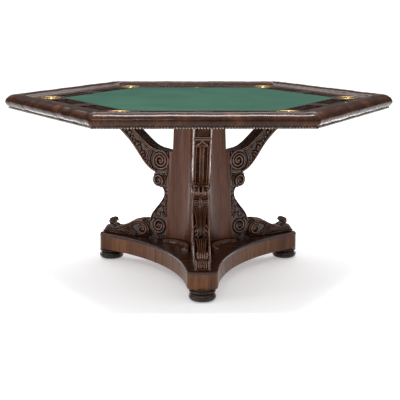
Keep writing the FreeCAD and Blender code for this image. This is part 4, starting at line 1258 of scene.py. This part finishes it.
designs = {"arm": carved_arm, "leg_scroll": carved_leg_scroll, "plinth_scroll": carved_plinth_scroll}
for node, design in designs.items():
    mesh = carved_mesh(f"carved_{node}", design())
    add_round(f"carved_{node}", mesh, carved_wood, LEGS, node)

# --- Stage, camera, light ---------------------------------------------------------------------------

FLOOR_HALF = 60.0
CAMERA_PLACE = Vector((-0.117, -4.401, 1.188))
CAMERA_YAW, CAMERA_PITCH, CAMERA_ROLL = (math.radians(a) for a in (-1.55, 11.22, 0.15))
CAMERA_LENS, SENSOR, VIEW_END = 92.7, 36, 300
# the room is dark up to one height on its sky, bright above another, and a plain backdrop to the camera
ROOM_LOW, ROOM_HIGH, ROOM_DARK, ROOM_BRIGHT, BACKDROP = 0.36, 0.64, 0.10, 1.16, 1.05
MIDDLE, GLOW_HEIGHT = (0, 0, 0.5), 0.16
WHITE, COOL, LAVENDER = (1, 1, 1), (0.95, 0.96, 1.0), (0.93, 0.91, 1.0)
# each light's name, place, target, width, height, watts and colour
LIGHTS = [
    ("overhead", (0, -0.75, 4.2), (0, -0.75, 0), 2.0, 0.8, 230, WHITE),
    ("back_top", (0, 3.2, 3.4), (0, 0, 0.7), 4.5, 1.0, 40, WHITE),
    ("left_box", (-4.0, -2.2, 1.0), MIDDLE, 0.7, 1.6, 36, COOL),
    ("right_box", (4.2, -1.6, 1.0), MIDDLE, 0.7, 1.6, 9, COOL),
    ("front_key", (-0.9, -4.6, 3.0), MIDDLE, 0.8, 0.6, 36, WHITE),
    ("column_glow_1", (-0.95, 1.0, GLOW_HEIGHT), (0, 0, GLOW_HEIGHT), 0.8, 0.3, 4, LAVENDER),
    ("column_glow_3", (0.95, 1.0, GLOW_HEIGHT), (0, 0, GLOW_HEIGHT), 0.8, 0.3, 4, LAVENDER),
]


def floor():
    """A wide pale floor."""
    s = Shader("pale_floor")
    tone = s.noise(s.stretched(0.8, 0.8, 0.8), detail=2)
    s.set(Base_Color=s.ramp(tone, (0.3, (0.84, 0.84, 0.84)), (0.7, (0.87, 0.87, 0.87))))
    s.set(Roughness=0.9, Specular_IOR_Level=0.0, Emission_Color=(1, 1, 1), Emission_Strength=0.34)
    corners = [(x * FLOOR_HALF, y * FLOOR_HALF, 0) for x, y in ((-1, -1), (1, -1), (1, 1), (-1, 1))]
    obj = new_object("floor", new_mesh("floor", corners, [(0, 1, 2, 3)]))
    obj.data.materials.append(s.material)


def softbox(name, place, target, width, height, power, colour):
    """A rectangular light that faces a point and isn't seen itself."""
    light = bpy.data.lights.new(name, "AREA")
    light.shape, light.size, light.size_y = "RECTANGLE", width, height
    light.energy, light.color = power, colour
    obj = new_object(name, light)
    obj.location = place
    obj.rotation_mode = "QUATERNION"
    obj.rotation_quaternion = (Vector(target) - Vector(place)).to_track_quat("-Z", "Y")
    obj.visible_camera = False


def camera():
    """The camera, at the photograph's viewing angle."""
    flat = math.cos(CAMERA_PITCH)
    down = -math.sin(CAMERA_PITCH)
    forward = Vector((-math.sin(CAMERA_YAW) * flat, math.cos(CAMERA_YAW) * flat, down))
    right = Vector((math.cos(CAMERA_YAW), math.sin(CAMERA_YAW), 0))
    up = right.cross(forward)
    tilted_right = math.cos(CAMERA_ROLL) * right + math.sin(CAMERA_ROLL) * up
    tilted_up = math.cos(CAMERA_ROLL) * up - math.sin(CAMERA_ROLL) * right
    data = bpy.data.cameras.new("camera")
    data.lens, data.sensor_width, data.clip_end = CAMERA_LENS, SENSOR, VIEW_END
    obj = new_object("camera", data)
    obj.matrix_world = Matrix((tilted_right, tilted_up, -forward)).transposed().to_4x4()
    obj.location = CAMERA_PLACE
    bpy.context.scene.camera = obj


def studio():
    """The room's light and the lights in it."""
    world = bpy.data.worlds.new("studio")
    world.use_nodes = True
    nodes, links = world.node_tree.nodes, world.node_tree.links
    # the room is bright overhead and dark low down
    kinds = ("LightPath", "TexCoord", "VectorMath", "MapRange", "Mix")
    path, place, slope, room, level = (nodes.new(f"ShaderNode{kind}") for kind in kinds)
    slope.operation = "DOT_PRODUCT"
    slope.inputs[1].default_value = (0, 0, 1)
    links.new(place.outputs["Generated"], slope.inputs[0])
    set_inputs(room, From_Min=ROOM_LOW, From_Max=ROOM_HIGH, To_Min=ROOM_DARK, To_Max=ROOM_BRIGHT)
    links.new(slope.outputs["Value"], room.inputs["Value"])
    level.inputs[3].default_value = BACKDROP
    links.new(path.outputs["Is Camera Ray"], level.inputs[0])
    links.new(room.outputs["Result"], level.inputs[2])
    links.new(level.outputs[0], nodes["Background"].inputs["Strength"])
    nodes["Background"].inputs["Color"].default_value = (1, 1, 1, 1)
    bpy.context.scene.world = world
    bpy.context.scene.view_settings.view_transform = "Standard"
    for light in LIGHTS:
        softbox(*light)


# CAD nodes that keep their own meshes
plain_nodes = {"foot_glides": glide_plastic, "foot_studs": frame_wood, "column_cap_plate": frame_wood}
plain_nodes.update({name: steel for name in ("tie_rod", "tie_nuts_and_washers", "bearer_screws")})
plain_nodes.update({"substrate": board_wood, "rail_frame": board_wood})
plain_nodes.update({f"top_bearer_{leg}": frame_wood for leg in LEGS})
for node, material in plain_nodes.items():
    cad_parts[node].data.materials.clear()
    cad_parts[node].data.materials.append(material)

floor()
camera()
studio()
